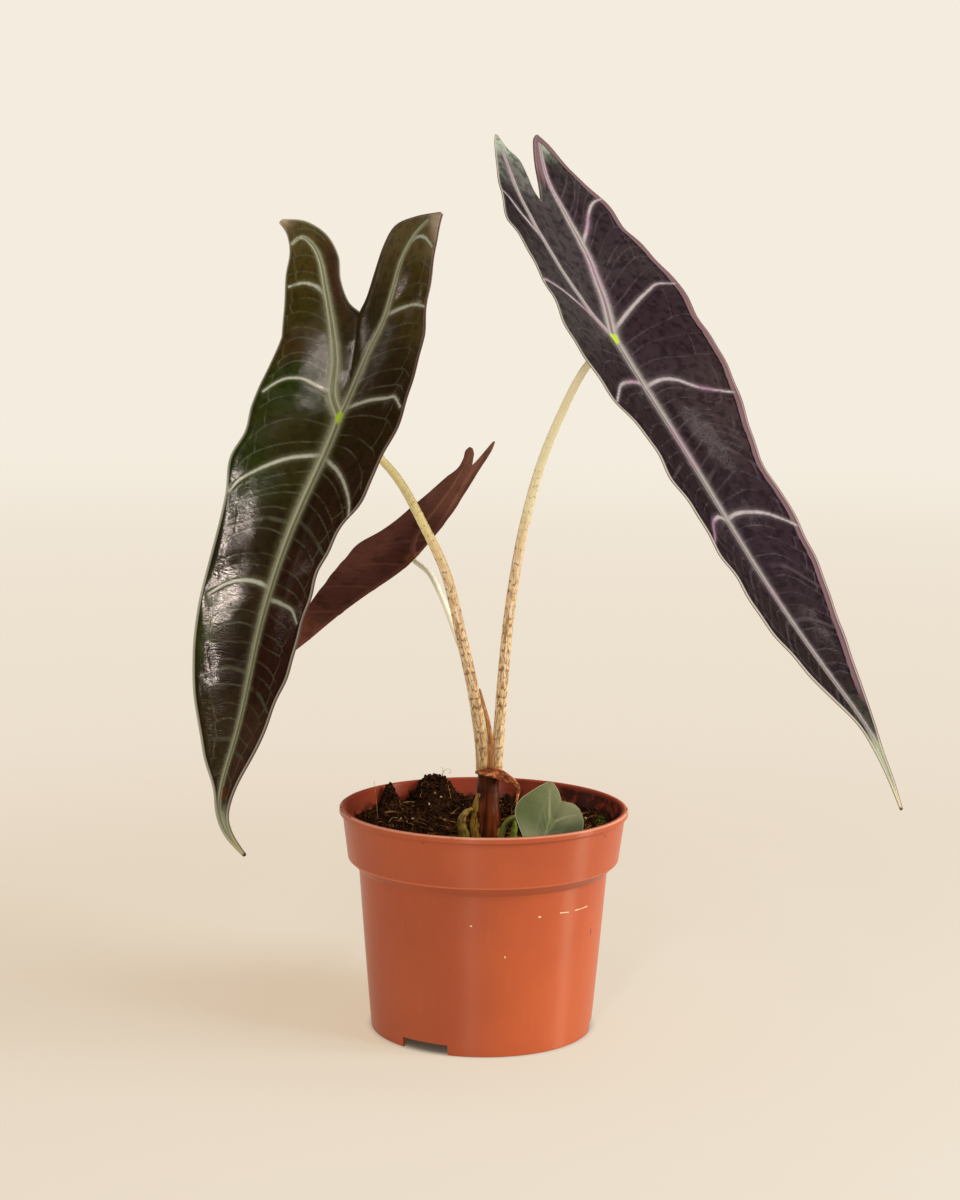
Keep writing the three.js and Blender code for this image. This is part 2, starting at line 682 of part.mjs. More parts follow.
function bladeShell(blade, grid) {
  const surface = bladeSurface(blade.path);
  const upper = [];
  const lower = [];
  const faces = [];
  const addPoint = (s, u) => {
    const middle = surface.point(s, u);
    const normal = surface.normal(s, u);
    upper.push(middle.clone().addScaledVector(normal, blade.thickness / 2));
    lower.push(middle.clone().addScaledVector(normal, -blade.thickness / 2));
    return upper.length - 1;
  };
  const midline = [];
  Object.entries(blade.halves).forEach(([name, half]) => {
    const side = name === 'left' ? -1 : 1;
    const rows = halfRows(blade, half, grid).map(([inner, outer], i) => {
      const ids = [];
      for (let k = 0; k <= grid.columns; k += 1) {
        const place = inner.clone().lerp(outer, k / grid.columns);
        if (k === 0 && i <= grid.bladeRows && midline[i] !== undefined) {
          ids.push(midline[i]);
        } else {
          ids.push(addPoint(place.x, side * place.y));
        }
      }
      if (side < 0 && i <= grid.bladeRows) {
        midline[i] = ids[0];
      }
      return ids;
    });
    for (let i = 0; i < rows.length - 1; i += 1) {
      for (let k = 0; k < grid.columns; k += 1) {
        const [a, b, c, d] = [rows[i][k], rows[i][k + 1], rows[i + 1][k + 1], rows[i + 1][k]];
        const pair = side > 0 ? [[a, b, c], [a, c, d]] : [[a, c, b], [a, d, c]];
        faces.push(...pair);
      }
    }
  });
  const count = upper.length;
  const edges = new Set(faces.flatMap(([a, b, c]) => [`${a},${b}`, `${b},${c}`, `${c},${a}`]));
  const rim = [];
  edges.forEach((edge) => {
    const [a, b] = edge.split(',').map(Number);
    if (!edges.has(`${b},${a}`)) {
      rim.push([b, a, a + count], [b, a + count, b + count]);
    }
  });
  const under = faces.map(([a, b, c]) => [a + count, c + count, b + count]);
  return { surface, geometry: closedGeometry([...upper, ...lower], [...faces, ...rim, ...under]) };
}

// Midrib and costae stand out of the underside and taper towards their ends
function bladeGeometry(blade, grid) {
  const { surface, geometry } = bladeShell(blade, grid);
  const ridge = (pairs, steps, size, sink, start) => {
    const curve = outlineCurve(pairs);
    const points = [];
    for (let i = 0; i <= steps; i += 1) {
      const place = curve.getPointAt(start + (1 - start) * (i / steps));
      const radius = size * (1 - (1 - RIDGE_TIP_SHARE) * (i / steps));
      const normal = surface.normal(place.x, place.y);
      const depth = sink * radius + blade.thickness / 4;
      points.push(surface.point(place.x, place.y).addScaledVector(normal, -depth));
    }
    return taperedTube(points, (t) => size * (1 - (1 - RIDGE_TIP_SHARE) * t), steps, RIDGE_SIDES);
  };
  const midline = [[MIDRIB_START, 0], [blade.tip / 2, 0], [blade.tip * MIDRIB_SHARE, 0]];
  const midrib = ridge(midline, grid.ridgeSteps, blade.ridge, MIDRIB_SINK, 0);
  const costae = Object.entries(blade.halves).map(([name, half]) => {
    const side = name === 'left' ? -1 : 1;
    const line = half.costa.map(([s, u]) => [s, side * u]);
    return ridge(line, grid.costaSteps, blade.ridge * COSTA_SIZE, COSTA_SINK, COSTA_START);
  });
  return geometryOf(fuse([geometry, midrib, ...costae]));
}

// Dry sheath: a flat pointed blade
function sheathGeometry() {
  const curve = new THREE.CatmullRomCurve3(SHEATH.points.map(v3));
  const rings = [];
  for (let i = 0; i <= SHEATH.steps; i += 1) {
    const t = i / SHEATH.steps;
    const middle = curve.getPointAt(t);
    const width = SHEATH.width * Math.sqrt(1 - 0.93 * t) * 0.5;
    const depth = (SHEATH.thickness * (1 - 0.3 * t)) / 2;
    rings.push([
      middle.clone().add(v3([-width, 0, 0])),
      middle.clone().add(v3([0, -depth, 0])),
      middle.clone().add(v3([width, 0, 0])),
      middle.clone().add(v3([0, depth, 0])),
    ]);
  }
  return loft(rings);
}

// Withered bract: a thin ribbon round the front of the neck's top, with a strip that hangs down
function bractGeometry() {
  const curve = new THREE.CatmullRomCurve3(BRACT.stations.map(v3));
  const heightAt = naturalCubic(
    BRACT.stations.map((_, i) => i / (BRACT.stations.length - 1)),
    BRACT.stations.map((station) => station[3]),
  );
  const rings = [];
  for (let i = 0; i <= BRACT.steps; i += 1) {
    const t = i / BRACT.steps;
    const middle = curve.getPoint(t);
    const tangent = curve.getTangent(t);
    const outward = new THREE.Vector3(tangent.y, -tangent.x, 0);
    if (outward.length() < 0.35) {
      outward.set(0.3, -1, 0);
    }
    outward.setLength(BRACT.thickness / 2);
    const upward = new THREE.Vector3().crossVectors(outward, tangent).setLength(heightAt(t) / 2);
    rings.push([
      middle.clone().add(outward).add(upward),
      middle.clone().add(outward).sub(upward),
      middle.clone().sub(outward).sub(upward),
      middle.clone().sub(outward).add(upward),
    ]);
  }
  return loft(rings);
}

// Assembly
const plant = new THREE.Group();

function addPiece(name, geometry, material) {
  const mesh = new THREE.Mesh(geometry, material);
  mesh.name = name;
  plant.add(mesh);
}

addPiece('pot', potGeometry(), POT_PLASTIC);
addPiece('soil', soilGeometry(), PEAT);
addPiece('stem_neck', geometryOf(neckSolid(0)), NECK_SKIN);
addPiece('petiole_left', geometryOf(stemSolid('left', 0)), PETIOLE_SKIN);
addPiece('petiole_right', geometryOf(stemSolid('right', 0)), PETIOLE_SKIN);
addPiece('petiole_back', geometryOf(stemSolid('back', 0)), BACK_PETIOLE_SKIN);
addPiece('petiole_young', geometryOf(stemSolid('young', 0)), YOUNG_PETIOLE_SKIN);
addPiece('blade_left', bladeGeometry(BLADES.left, ADULT_GRID), LEFT_BLADE_SKIN);
addPiece('blade_right', bladeGeometry(BLADES.right, ADULT_GRID), RIGHT_BLADE_SKIN);
addPiece('blade_back', bladeGeometry(BLADES.back, ADULT_GRID), BACK_BLADE_SKIN);
addPiece('blade_young', bladeGeometry(BLADES.young, YOUNG_GRID), YOUNG_BLADE_SKIN);
addPiece('dry_sheath', sheathGeometry(), DRY_SKIN);
addPiece('withered_bract', bractGeometry(), DRY_SKIN);
addPiece('shoot_left', shootGeometry(0), SHOOT_SKIN);

export default plant;
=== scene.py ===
"""Dressed model of a potted Alocasia longiloba: pot, peat, neck, petioles and long dark blades.

The frame is the part's own: +Z up, the origin in the middle of the pot's base, the usual view
from -Y. Sizes are written in millimetres and turned into metres by MM where a mesh is made.
"""

import logging
import math
from collections.abc import Callable, Sequence
from dataclasses import dataclass, field
from enum import Enum

import bpy
import numpy as np
from mathutils import Matrix, Vector, noise


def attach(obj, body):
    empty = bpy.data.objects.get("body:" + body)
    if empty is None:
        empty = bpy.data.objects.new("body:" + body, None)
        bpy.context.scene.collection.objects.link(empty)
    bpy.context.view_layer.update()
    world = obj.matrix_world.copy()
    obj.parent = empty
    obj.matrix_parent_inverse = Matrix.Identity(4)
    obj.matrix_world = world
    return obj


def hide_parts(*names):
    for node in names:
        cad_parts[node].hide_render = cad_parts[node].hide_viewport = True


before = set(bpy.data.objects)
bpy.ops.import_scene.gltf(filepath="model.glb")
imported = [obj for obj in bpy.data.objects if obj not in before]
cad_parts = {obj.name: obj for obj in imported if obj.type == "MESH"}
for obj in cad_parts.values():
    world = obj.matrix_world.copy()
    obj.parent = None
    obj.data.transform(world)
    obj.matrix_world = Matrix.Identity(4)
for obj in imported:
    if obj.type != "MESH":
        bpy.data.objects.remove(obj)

log = logging.getLogger("alocasia")

MM = 0.001
STROKE_CORE = 0.4
ROOT = "root"
WALL_LEVELS = (12, 20, 28, 36, 44, 52, 60)
DAY_TINT = (1.0, 0.965, 0.92)

Array = np.ndarray
Piece = bpy.types.Object
Material = bpy.types.Material
Socket = bpy.types.NodeSocket
Pair = tuple[float, float]
Triple = tuple[float, float, float]
Pairs = Sequence[Pair]
Points = Sequence[Triple]
Spots = tuple[tuple[float, float, str], ...]
Strokes = tuple[tuple[Sequence[float], Sequence[float], float], ...]
Colour = tuple[float, float, float, float]


def colour(code: str) -> Colour:
    """Turn a screen colour such as "9aa893" into the linear colour that a shader reads.

    Args:
        code: six hexadecimal digits, red first.

    Returns:
        Linear red, green and blue, and a full alpha.
    """
    parts = [int(code[i : i + 2], 16) / 255 for i in (0, 2, 4)]
    red, green, blue = [p / 12.92 if p <= 0.04045 else ((p + 0.055) / 1.055) ** 2.4 for p in parts]
    return (red, green, blue, 1.0)


def smooth(value: Array, start: float, end: float) -> Array:
    """Rise smoothly from 0 at start to 1 at end, for numbers in an array."""
    t = np.clip((value - start) / (end - start), 0.0, 1.0)
    return t * t * (3.0 - 2.0 * t)


def full_turn(sides: int) -> Array:
    """Angles of the points round a ring, the last one the same as the first."""
    angle = np.linspace(0, 2 * math.pi, sides + 1)
    angle[-1] = 0.0
    return angle


# Curves


class NaturalCubic:
    """Natural cubic curve through rows of values at rising knots."""

    def __init__(self, knots: Sequence[float], values: Array) -> None:
        """Solve the curve's bends, from rising knots and a row of values for each."""
        self.knots = np.array(knots, float)
        self.values = np.array(values, float).reshape(len(self.knots), -1)
        last = len(self.knots) - 1
        width = np.diff(self.knots)
        system = np.eye(last + 1)
        turns = np.zeros_like(self.values)
        for i in range(1, last):
            system[i, i - 1 : i + 2] = width[i - 1], 2 * (width[i - 1] + width[i]), width[i]
            rise = np.diff(self.values[i - 1 : i + 2], axis=0) / width[i - 1 : i + 1, None]
            turns[i] = 6 * (rise[1] - rise[0])
        self.bends = np.linalg.solve(system, turns)

    def __call__(self, x: Array) -> Array:
        """Give one row of values for each place in x."""
        x = np.asarray(x, float)
        i = np.searchsorted(self.knots[1:-1], x)
        width = self.knots[i + 1] - self.knots[i]
        a = ((self.knots[i + 1] - x) / width)[..., None]
        b = 1 - a
        curve = (a**3 - a) * self.bends[i] + (b**3 - b) * self.bends[i + 1]
        return a * self.values[i] + b * self.values[i + 1] + curve * (width**2 / 6)[..., None]


class EvenCurve:
    """Smooth curve through points, read by its share of length."""

    STEPS = 24

    def __init__(self, points: Array, centripetal: bool = False) -> None:
        """Lay the curve out.

        Args:
            points: the points that it runs through.
            centripetal: True for a stalk in space, False for an outline in the blade's plane.
        """
        p = np.array(points, float)
        first = 2 * p[0] - p[1] if centripetal else p[0]
        final = 2 * p[-1] - p[-2] if centripetal else p[-1]
        q = np.vstack([first, p, final])
        t = np.linspace(0, 1, self.STEPS, endpoint=False)[:, None]
        pieces = [self._stretch(q[i : i + 4], t, centripetal) for i in range(len(p) - 1)]
        self.places = np.vstack([*pieces, p[-1:]])
        steps = np.linalg.norm(np.diff(self.places, axis=0), axis=1)
        self.lengths = np.concatenate([[0.0], np.cumsum(steps)])

    @staticmethod
    def _stretch(q: Array, t: Array, centripetal: bool) -> Array:
        """Lay out the stretch between the middle two of four points."""
        if centripetal:
            d = [max(np.linalg.norm(q[k + 1] - q[k]), 1e-9) ** 0.5 for k in range(3)]
            start = (q[1] - q[0]) / d[0] - (q[2] - q[0]) / (d[0] + d[1]) + (q[2] - q[1]) / d[1]
            end = (q[2] - q[1]) / d[1] - (q[3] - q[1]) / (d[1] + d[2]) + (q[3] - q[2]) / d[2]
            start, end = start * d[1], end * d[1]
        else:
            start, end = (q[2] - q[0]) / 2, (q[3] - q[1]) / 2
        cubic = 2 * q[1] - 2 * q[2] + start + end
        square = -3 * q[1] + 3 * q[2] - 2 * start - end
        return ((cubic * t + square) * t + start) * t + q[1]

    @property
    def length(self) -> float:
        """Full length of the curve."""
        return float(self.lengths[-1])

    def at(self, share: Array) -> Array:
        """Places at the given shares of the curve's length, one row each."""
        way = np.asarray(share, float) * self.length
        columns = [np.interp(way, self.lengths, column) for column in self.places.T]
        return np.stack(columns, axis=-1)


# Mesh work


def deselect_all() -> None:
    """Leave edit mode and select nothing."""
    if bpy.context.object is not None and bpy.context.object.mode != "OBJECT":
        bpy.ops.object.mode_set(mode="OBJECT")
    bpy.ops.object.select_all(action="DESELECT")


def make_active(piece: Piece) -> None:
    """Select one piece alone and make it the active one."""
    deselect_all()
    piece.select_set(True)
    bpy.context.view_layer.objects.active = piece


def apply_modifiers(piece: Piece) -> None:
    """Apply every modifier of a piece, in order."""
    make_active(piece)
    for modifier in list(piece.modifiers):
        bpy.ops.object.modifier_apply(modifier=modifier.name)


def places_of(piece: Piece) -> Array:
    """Places of a piece's points in millimetres, one row each."""
    flat = np.zeros(len(piece.data.vertices) * 3)
    piece.data.vertices.foreach_get("co", flat)
    return flat.reshape(-1, 3) / MM


def put_places(piece: Piece, places: Array) -> None:
    """Move a piece's points to places given in millimetres."""
    piece.data.vertices.foreach_set("co", (places * MM).ravel())
    piece.data.update()


def put_attribute(piece: Piece, name: str, values: Array) -> None:
    """Store one number, one vector or one colour for each point of a piece.

    Args:
        piece: the piece that takes the values.
        name: the attribute's name.
        values: an array with a row for each point, of 1, 3 or 4 columns.
    """
    values = np.asarray(values, np.float32)
    columns = 1 if values.ndim == 1 else values.shape[1]
    kind, key = {
        1: ("FLOAT", "value"),
        3: ("FLOAT_VECTOR", "vector"),
        4: ("FLOAT_COLOR", "color"),
    }[columns]
    layer = piece.data.attributes.get(name) or piece.data.attributes.new(name, kind, "POINT")
    layer.data.foreach_set(key, values.ravel())


def grid_piece(name: str, places: Array) -> Piece:
    """Add a grid and move its points to the given places.

    Args:
        name: the new piece's name.
        places: rows by columns by three, in millimetres.

    Returns:
        The piece, with the grid's own faces between the points.
    """
    rows, columns = places.shape[:2]
    deselect_all()
    bpy.ops.mesh.primitive_grid_add(x_subdivisions=columns - 1, y_subdivisions=rows - 1, size=1)
    piece = bpy.context.object
    piece.name = piece.data.name = name
    put_places(piece, places.reshape(-1, 3))
    return piece


def weld(piece: Piece, gap_mm: float = 0.0005, close: bool = False) -> None:
    """Merge points that lie on one another and turn the faces outwards.

    Args:
        piece: the piece to weld.
        gap_mm: how far apart two merged points may lie.
        close: True to fill the open ends as well.
    """
    make_active(piece)
    bpy.ops.object.mode_set(mode="EDIT")
    bpy.ops.mesh.select_all(action="SELECT")
    bpy.ops.mesh.remove_doubles(threshold=gap_mm * MM)
    if close:
        bpy.ops.mesh.select_all(action="DESELECT")
        bpy.ops.mesh.select_mode(type="EDGE")
        bpy.ops.mesh.select_non_manifold()
        bpy.ops.mesh.fill_holes(sides=0)
    bpy.ops.mesh.select_all(action="SELECT")
    bpy.ops.mesh.normals_make_consistent(inside=False)
    bpy.ops.object.mode_set(mode="OBJECT")


def join(name: str, pieces: Sequence[Piece]) -> Piece:
    """Join pieces into the first one and give it a name."""
    deselect_all()
    for piece in pieces:
        piece.select_set(True)
    bpy.context.view_layer.objects.active = pieces[0]
    if len(pieces) > 1:
        bpy.ops.object.join()
    pieces[0].name = pieces[0].data.name = name
    return pieces[0]


def shade(piece: Piece, angle: float = 180.0) -> None:
    """Shade a piece smooth, with edges sharper than the angle in degrees kept crisp."""
    make_active(piece)
    if angle >= 180:
        bpy.ops.object.shade_smooth()
    else:
        bpy.ops.object.shade_smooth_by_angle(angle=math.radians(angle))


def transport(points: Array) -> tuple[Array, Array]:
    """Carry a square-on frame along a line of points.

    Args:
        points: the line's points, one row each.

    Returns:
        Two unit vectors across the line at each point.
    """
    along = np.gradient(points, axis=0)
    along /= np.linalg.norm(along, axis=1, keepdims=True)
    first = np.cross(along[0], (0.0, 1.0, 0.0))
    side = [first / np.linalg.norm(first)]
    for tangent in along[1:]:
        turned = side[-1] - tangent * side[-1].dot(tangent)
        side.append(turned / np.linalg.norm(turned))
    across = np.array(side)
    return across, np.cross(along, across)


def tremble(places: Array, wave: float, seed: float = 0.0) -> Array:
    """Smooth noise around 0 for places in millimetres, with the given wave length."""
    shift = Vector((seed, seed * 1.7, seed * 0.6))
    spots = (Vector(place) / wave + shift for place in places.reshape(-1, 3))
    return np.array([noise.fractal(spot, 0.9, 2.0, 3) for spot in spots])


def tube_piece(
    name: str,
    curve: EvenCurve,
    radius: Callable[[Array], Array],
    rows: int,
    sides: int,
    relief: Callable[[Array, Array], Array] | None = None,
) -> Piece:
    """Model a stalk: a grid rolled round a curve, welded and closed at both ends.

    Args:
        name: the new piece's name.
        curve: the stalk's middle line.
        radius: gives the radius in millimetres for shares of the length.
        rows: number of rings.
        sides: number of points round a ring.
        relief: gives what to add to the radius, from the way along and the angle.

    Returns:
        The stalk, with the attribute "flow": its unrolled place in millimetres.
    """
    share = np.linspace(0, 1, rows)
    middle = curve.at(share)
    across, up = transport(middle)
    angle = full_turn(sides)
    way, turn = np.meshgrid(share * curve.length, angle, indexing="ij")
    reach = radius(share)[:, None] * np.ones_like(turn)
    if relief is not None:
        reach = reach + relief(way, turn)
    spokes = np.cos(turn)[..., None] * across[:, None] + np.sin(turn)[..., None] * up[:, None]
    piece = grid_piece(name, middle[:, None] + spokes * reach[..., None])
    flow = np.stack([reach * np.cos(turn), reach * np.sin(turn), way], axis=-1)
    put_attribute(piece, "flow", flow.reshape(-1, 3))
    weld(piece, close=True)
    shade(piece, 60)
    return piece


def three_radii(radii: Triple) -> Callable[[Array], Array]:
    """Give the radius for shares of a length, from those at its start, middle and end."""
    curve = NaturalCubic((0, 0.5, 1), np.array(radii))
    return lambda share: curve(share)[:, 0]


MATERIALS: dict["Finish", Material] = {}


def finish_piece(piece: Piece, finish: "Finish", slot: str, *nodes: str) -> None:
    """Dress a piece, let it ride on the plant and hide the plain solids that it replaces.

    Args:
        piece: the finished piece.
        finish: what its surface is made of.
        slot: the record's material slot; not used.
        nodes: the plain solids that the piece replaces, if any.
    """
    if finish not in MATERIALS:
        MATERIALS[finish] = finish.material()
    piece.data.materials.clear()
    piece.data.materials.append(MATERIALS[finish])
    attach(piece, ROOT)
    if nodes:
        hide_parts(*nodes)
    log.info("%s: %d faces", piece.name, len(piece.data.polygons))


# Finishes


class Shader:
    """One procedural material under construction, with short calls for its nodes."""

    def __init__(self, name: str) -> None:
        """Start a material of this name with a plain surface."""
        self.material = bpy.data.materials.new(name)
        self.material.use_nodes = True
        self.nodes = self.material.node_tree.nodes
        self.links = self.material.node_tree.links
        self.surface = self.nodes["Principled BSDF"]
        self.tone: object = None

    def feed(self, socket: Socket, value: object) -> None:
        """Link a socket to another one, or set its value. A text is a colour's code."""
        if isinstance(value, Socket):
            self.links.new(value, socket)
        else:
            socket.default_value = colour(value) if isinstance(value, str) else value

    def set(self, **values: object) -> None:
        """Set the surface's sockets, named in lower case with underscores."""
        for key, value in values.items():
            name = key.replace("_", " ").title().replace("Ior", "IOR")
            self.feed(self.surface.inputs[name], value)

    def math(self, operation: str, *values: object) -> Socket:
        """Add a Math node and give its result."""
        node = self.nodes.new("ShaderNodeMath")
        node.operation = operation
        for socket, value in zip(node.inputs, values):
            self.feed(socket, value)
        return node.outputs[0]

    def times(self, first: object, *others: object) -> object:
        """Multiply numbers, from left to right."""
        for other in others:
            first = self.math("MULTIPLY", first, other)
        return first

    def scaled(self, value: object, scale: object, shift: object) -> Socket:
        """Multiply a number by a scale and add a shift."""
        return self.math("MULTIPLY_ADD", value, scale, shift)

    def most(self, first: object, second: object) -> Socket:
        """Give the larger of two numbers."""
        return self.math("MAXIMUM", first, second)

    def apart(self, first: object, second: object) -> Socket:
        """Give how far two numbers are from each other."""
        return self.math("ABSOLUTE", self.math("SUBTRACT", first, second))

    def vector(self, operation: str, *values: object) -> bpy.types.Node:
        """Add a Vector Math node and give it."""
        node = self.nodes.new("ShaderNodeVectorMath")
        node.operation = operation
        for socket, value in zip(node.inputs, values):
            self.feed(socket, value)
        return node

    def stretch(self, vector: object, scale: Triple) -> Socket:
        """Scale a place along each axis."""
        return self.vector("MULTIPLY", vector, scale).outputs[0]

    def length(self, vector: object) -> Socket:
        """Give a vector's length."""
        return self.vector("LENGTH", vector).outputs["Value"]

    def place(self) -> Socket:
        """Place on the object, in millimetres."""
        node = self.nodes.new("ShaderNodeTexCoord")
        return self.stretch(node.outputs["Object"], (1 / MM, 1 / MM, 1 / MM))

    def attribute(self, name: str, output: str = "Fac") -> Socket:
        """Read what the piece's points carry under a name."""
        node = self.nodes.new("ShaderNodeAttribute")
        node.attribute_name = name
        return node.outputs[output]

    def parts(self, vector: object) -> tuple[Socket, ...]:
        """Split a vector into its three numbers."""
        node = self.nodes.new("ShaderNodeSeparateXYZ")
        self.feed(node.inputs[0], vector)
        return tuple(node.outputs)

    def noise(self, vector: object, scale: float, detail: float = 3.0) -> Socket:
        """Add smooth noise between 0 and 1, with scale in waves per millimetre."""
        node = self.nodes.new("ShaderNodeTexNoise")
        self.feed(node.inputs["Vector"], vector)
        node.inputs["Scale"].default_value = scale
        node.inputs["Detail"].default_value = detail
        return node.outputs["Fac"]

    def streaks(self, vector: object, waves: Sequence[float], detail: float) -> Socket:
        """Add smooth noise between 0 and 1, with its waves per millimetre along each axis."""
        return self.noise(self.stretch(vector, tuple(waves)), 1.0, detail)

    def shaken(self, vector: object, scale: float, reach: Sequence[float]) -> Socket:
        """Shift a place by smooth noise, between 0 and the reach along each axis."""
        cloud = self.noise(vector, scale, 1).node.outputs["Color"]
        return self.vector("ADD", vector, self.stretch(cloud, tuple(reach))).outputs[0]

    def cells(self, vector: object, scale: float, output: str = "Distance") -> Socket:
        """Add a cell pattern with scale in cells per millimetre."""
        node = self.nodes.new("ShaderNodeTexVoronoi")
        self.feed(node.inputs["Vector"], vector)
        node.inputs["Scale"].default_value = scale
        return node.outputs[output]

    def fade(self, value: object, start: float, end: float) -> Socket:
        """Rise smoothly from 0 at start to 1 at end, or the other way round if end is less."""
        node = self.nodes.new("ShaderNodeMapRange")
        node.interpolation_type = "SMOOTHSTEP"
        self.feed(node.inputs["Value"], value)
        node.inputs["From Min"].default_value = start
        node.inputs["From Max"].default_value = end
        return node.outputs["Result"]

    def mix(self, factor: object, first: object, second: object) -> Socket:
        """Mix two colours."""
        node = self.nodes.new("ShaderNodeMix")
        node.data_type = "RGBA"
        self.feed(node.inputs[0], factor)
        self.feed(node.inputs[6], first)
        self.feed(node.inputs[7], second)
        return node.outputs[2]

    def cover(self, paint: object, *shares: object) -> None:
        """Lay a paint over the tone so far, as much as the product of the shares says."""
        self.tone = self.mix(self.times(*shares), self.tone, paint)

    def stroke(
        self, place: object, start: Sequence[float], end: Sequence[float], width: float
    ) -> Socket:
        """Mark a short stroke between two places, 1 on its line and 0 from the width on."""
        line = Vector(end) - Vector(start)
        away = self.vector("SUBTRACT", place, tuple(start)).outputs[0]
        way = self.vector("DOT_PRODUCT", away, tuple(line / line.length_squared)).outputs["Value"]
        share = self.math("MINIMUM", self.most(way, 0.0), 1.0)
        scaled = self.vector("SCALE", tuple(line))
        self.feed(scaled.inputs["Scale"], share)
        apart = self.vector("DISTANCE", away, scaled.outputs[0]).outputs["Value"]
        return self.fade(apart, width, width * STROKE_CORE)

    def bump(self, height: object, depth_mm: float, strength: float = 1.0) -> None:
        """Add relief to the surface, on top of what it already has."""
        node = self.nodes.new("ShaderNodeBump")
        node.inputs["Strength"].default_value = strength
        node.inputs["Distance"].default_value = depth_mm * MM
        self.feed(node.inputs["Height"], height)
        socket = self.surface.inputs["Normal"]
        if socket.is_linked:
            self.links.new(socket.links[0].from_socket, node.inputs["Normal"])
        self.links.new(node.outputs["Normal"], socket)


class Finish:
    """What a surface is made of. Each kind paints its own material."""

    name: str

    def paint(self, s: Shader) -> None:
        """Paint the surface."""
        raise NotImplementedError

    def material(self) -> Material:
        """Build the material."""
        s = Shader(self.name)
        self.paint(s)
        return s.material


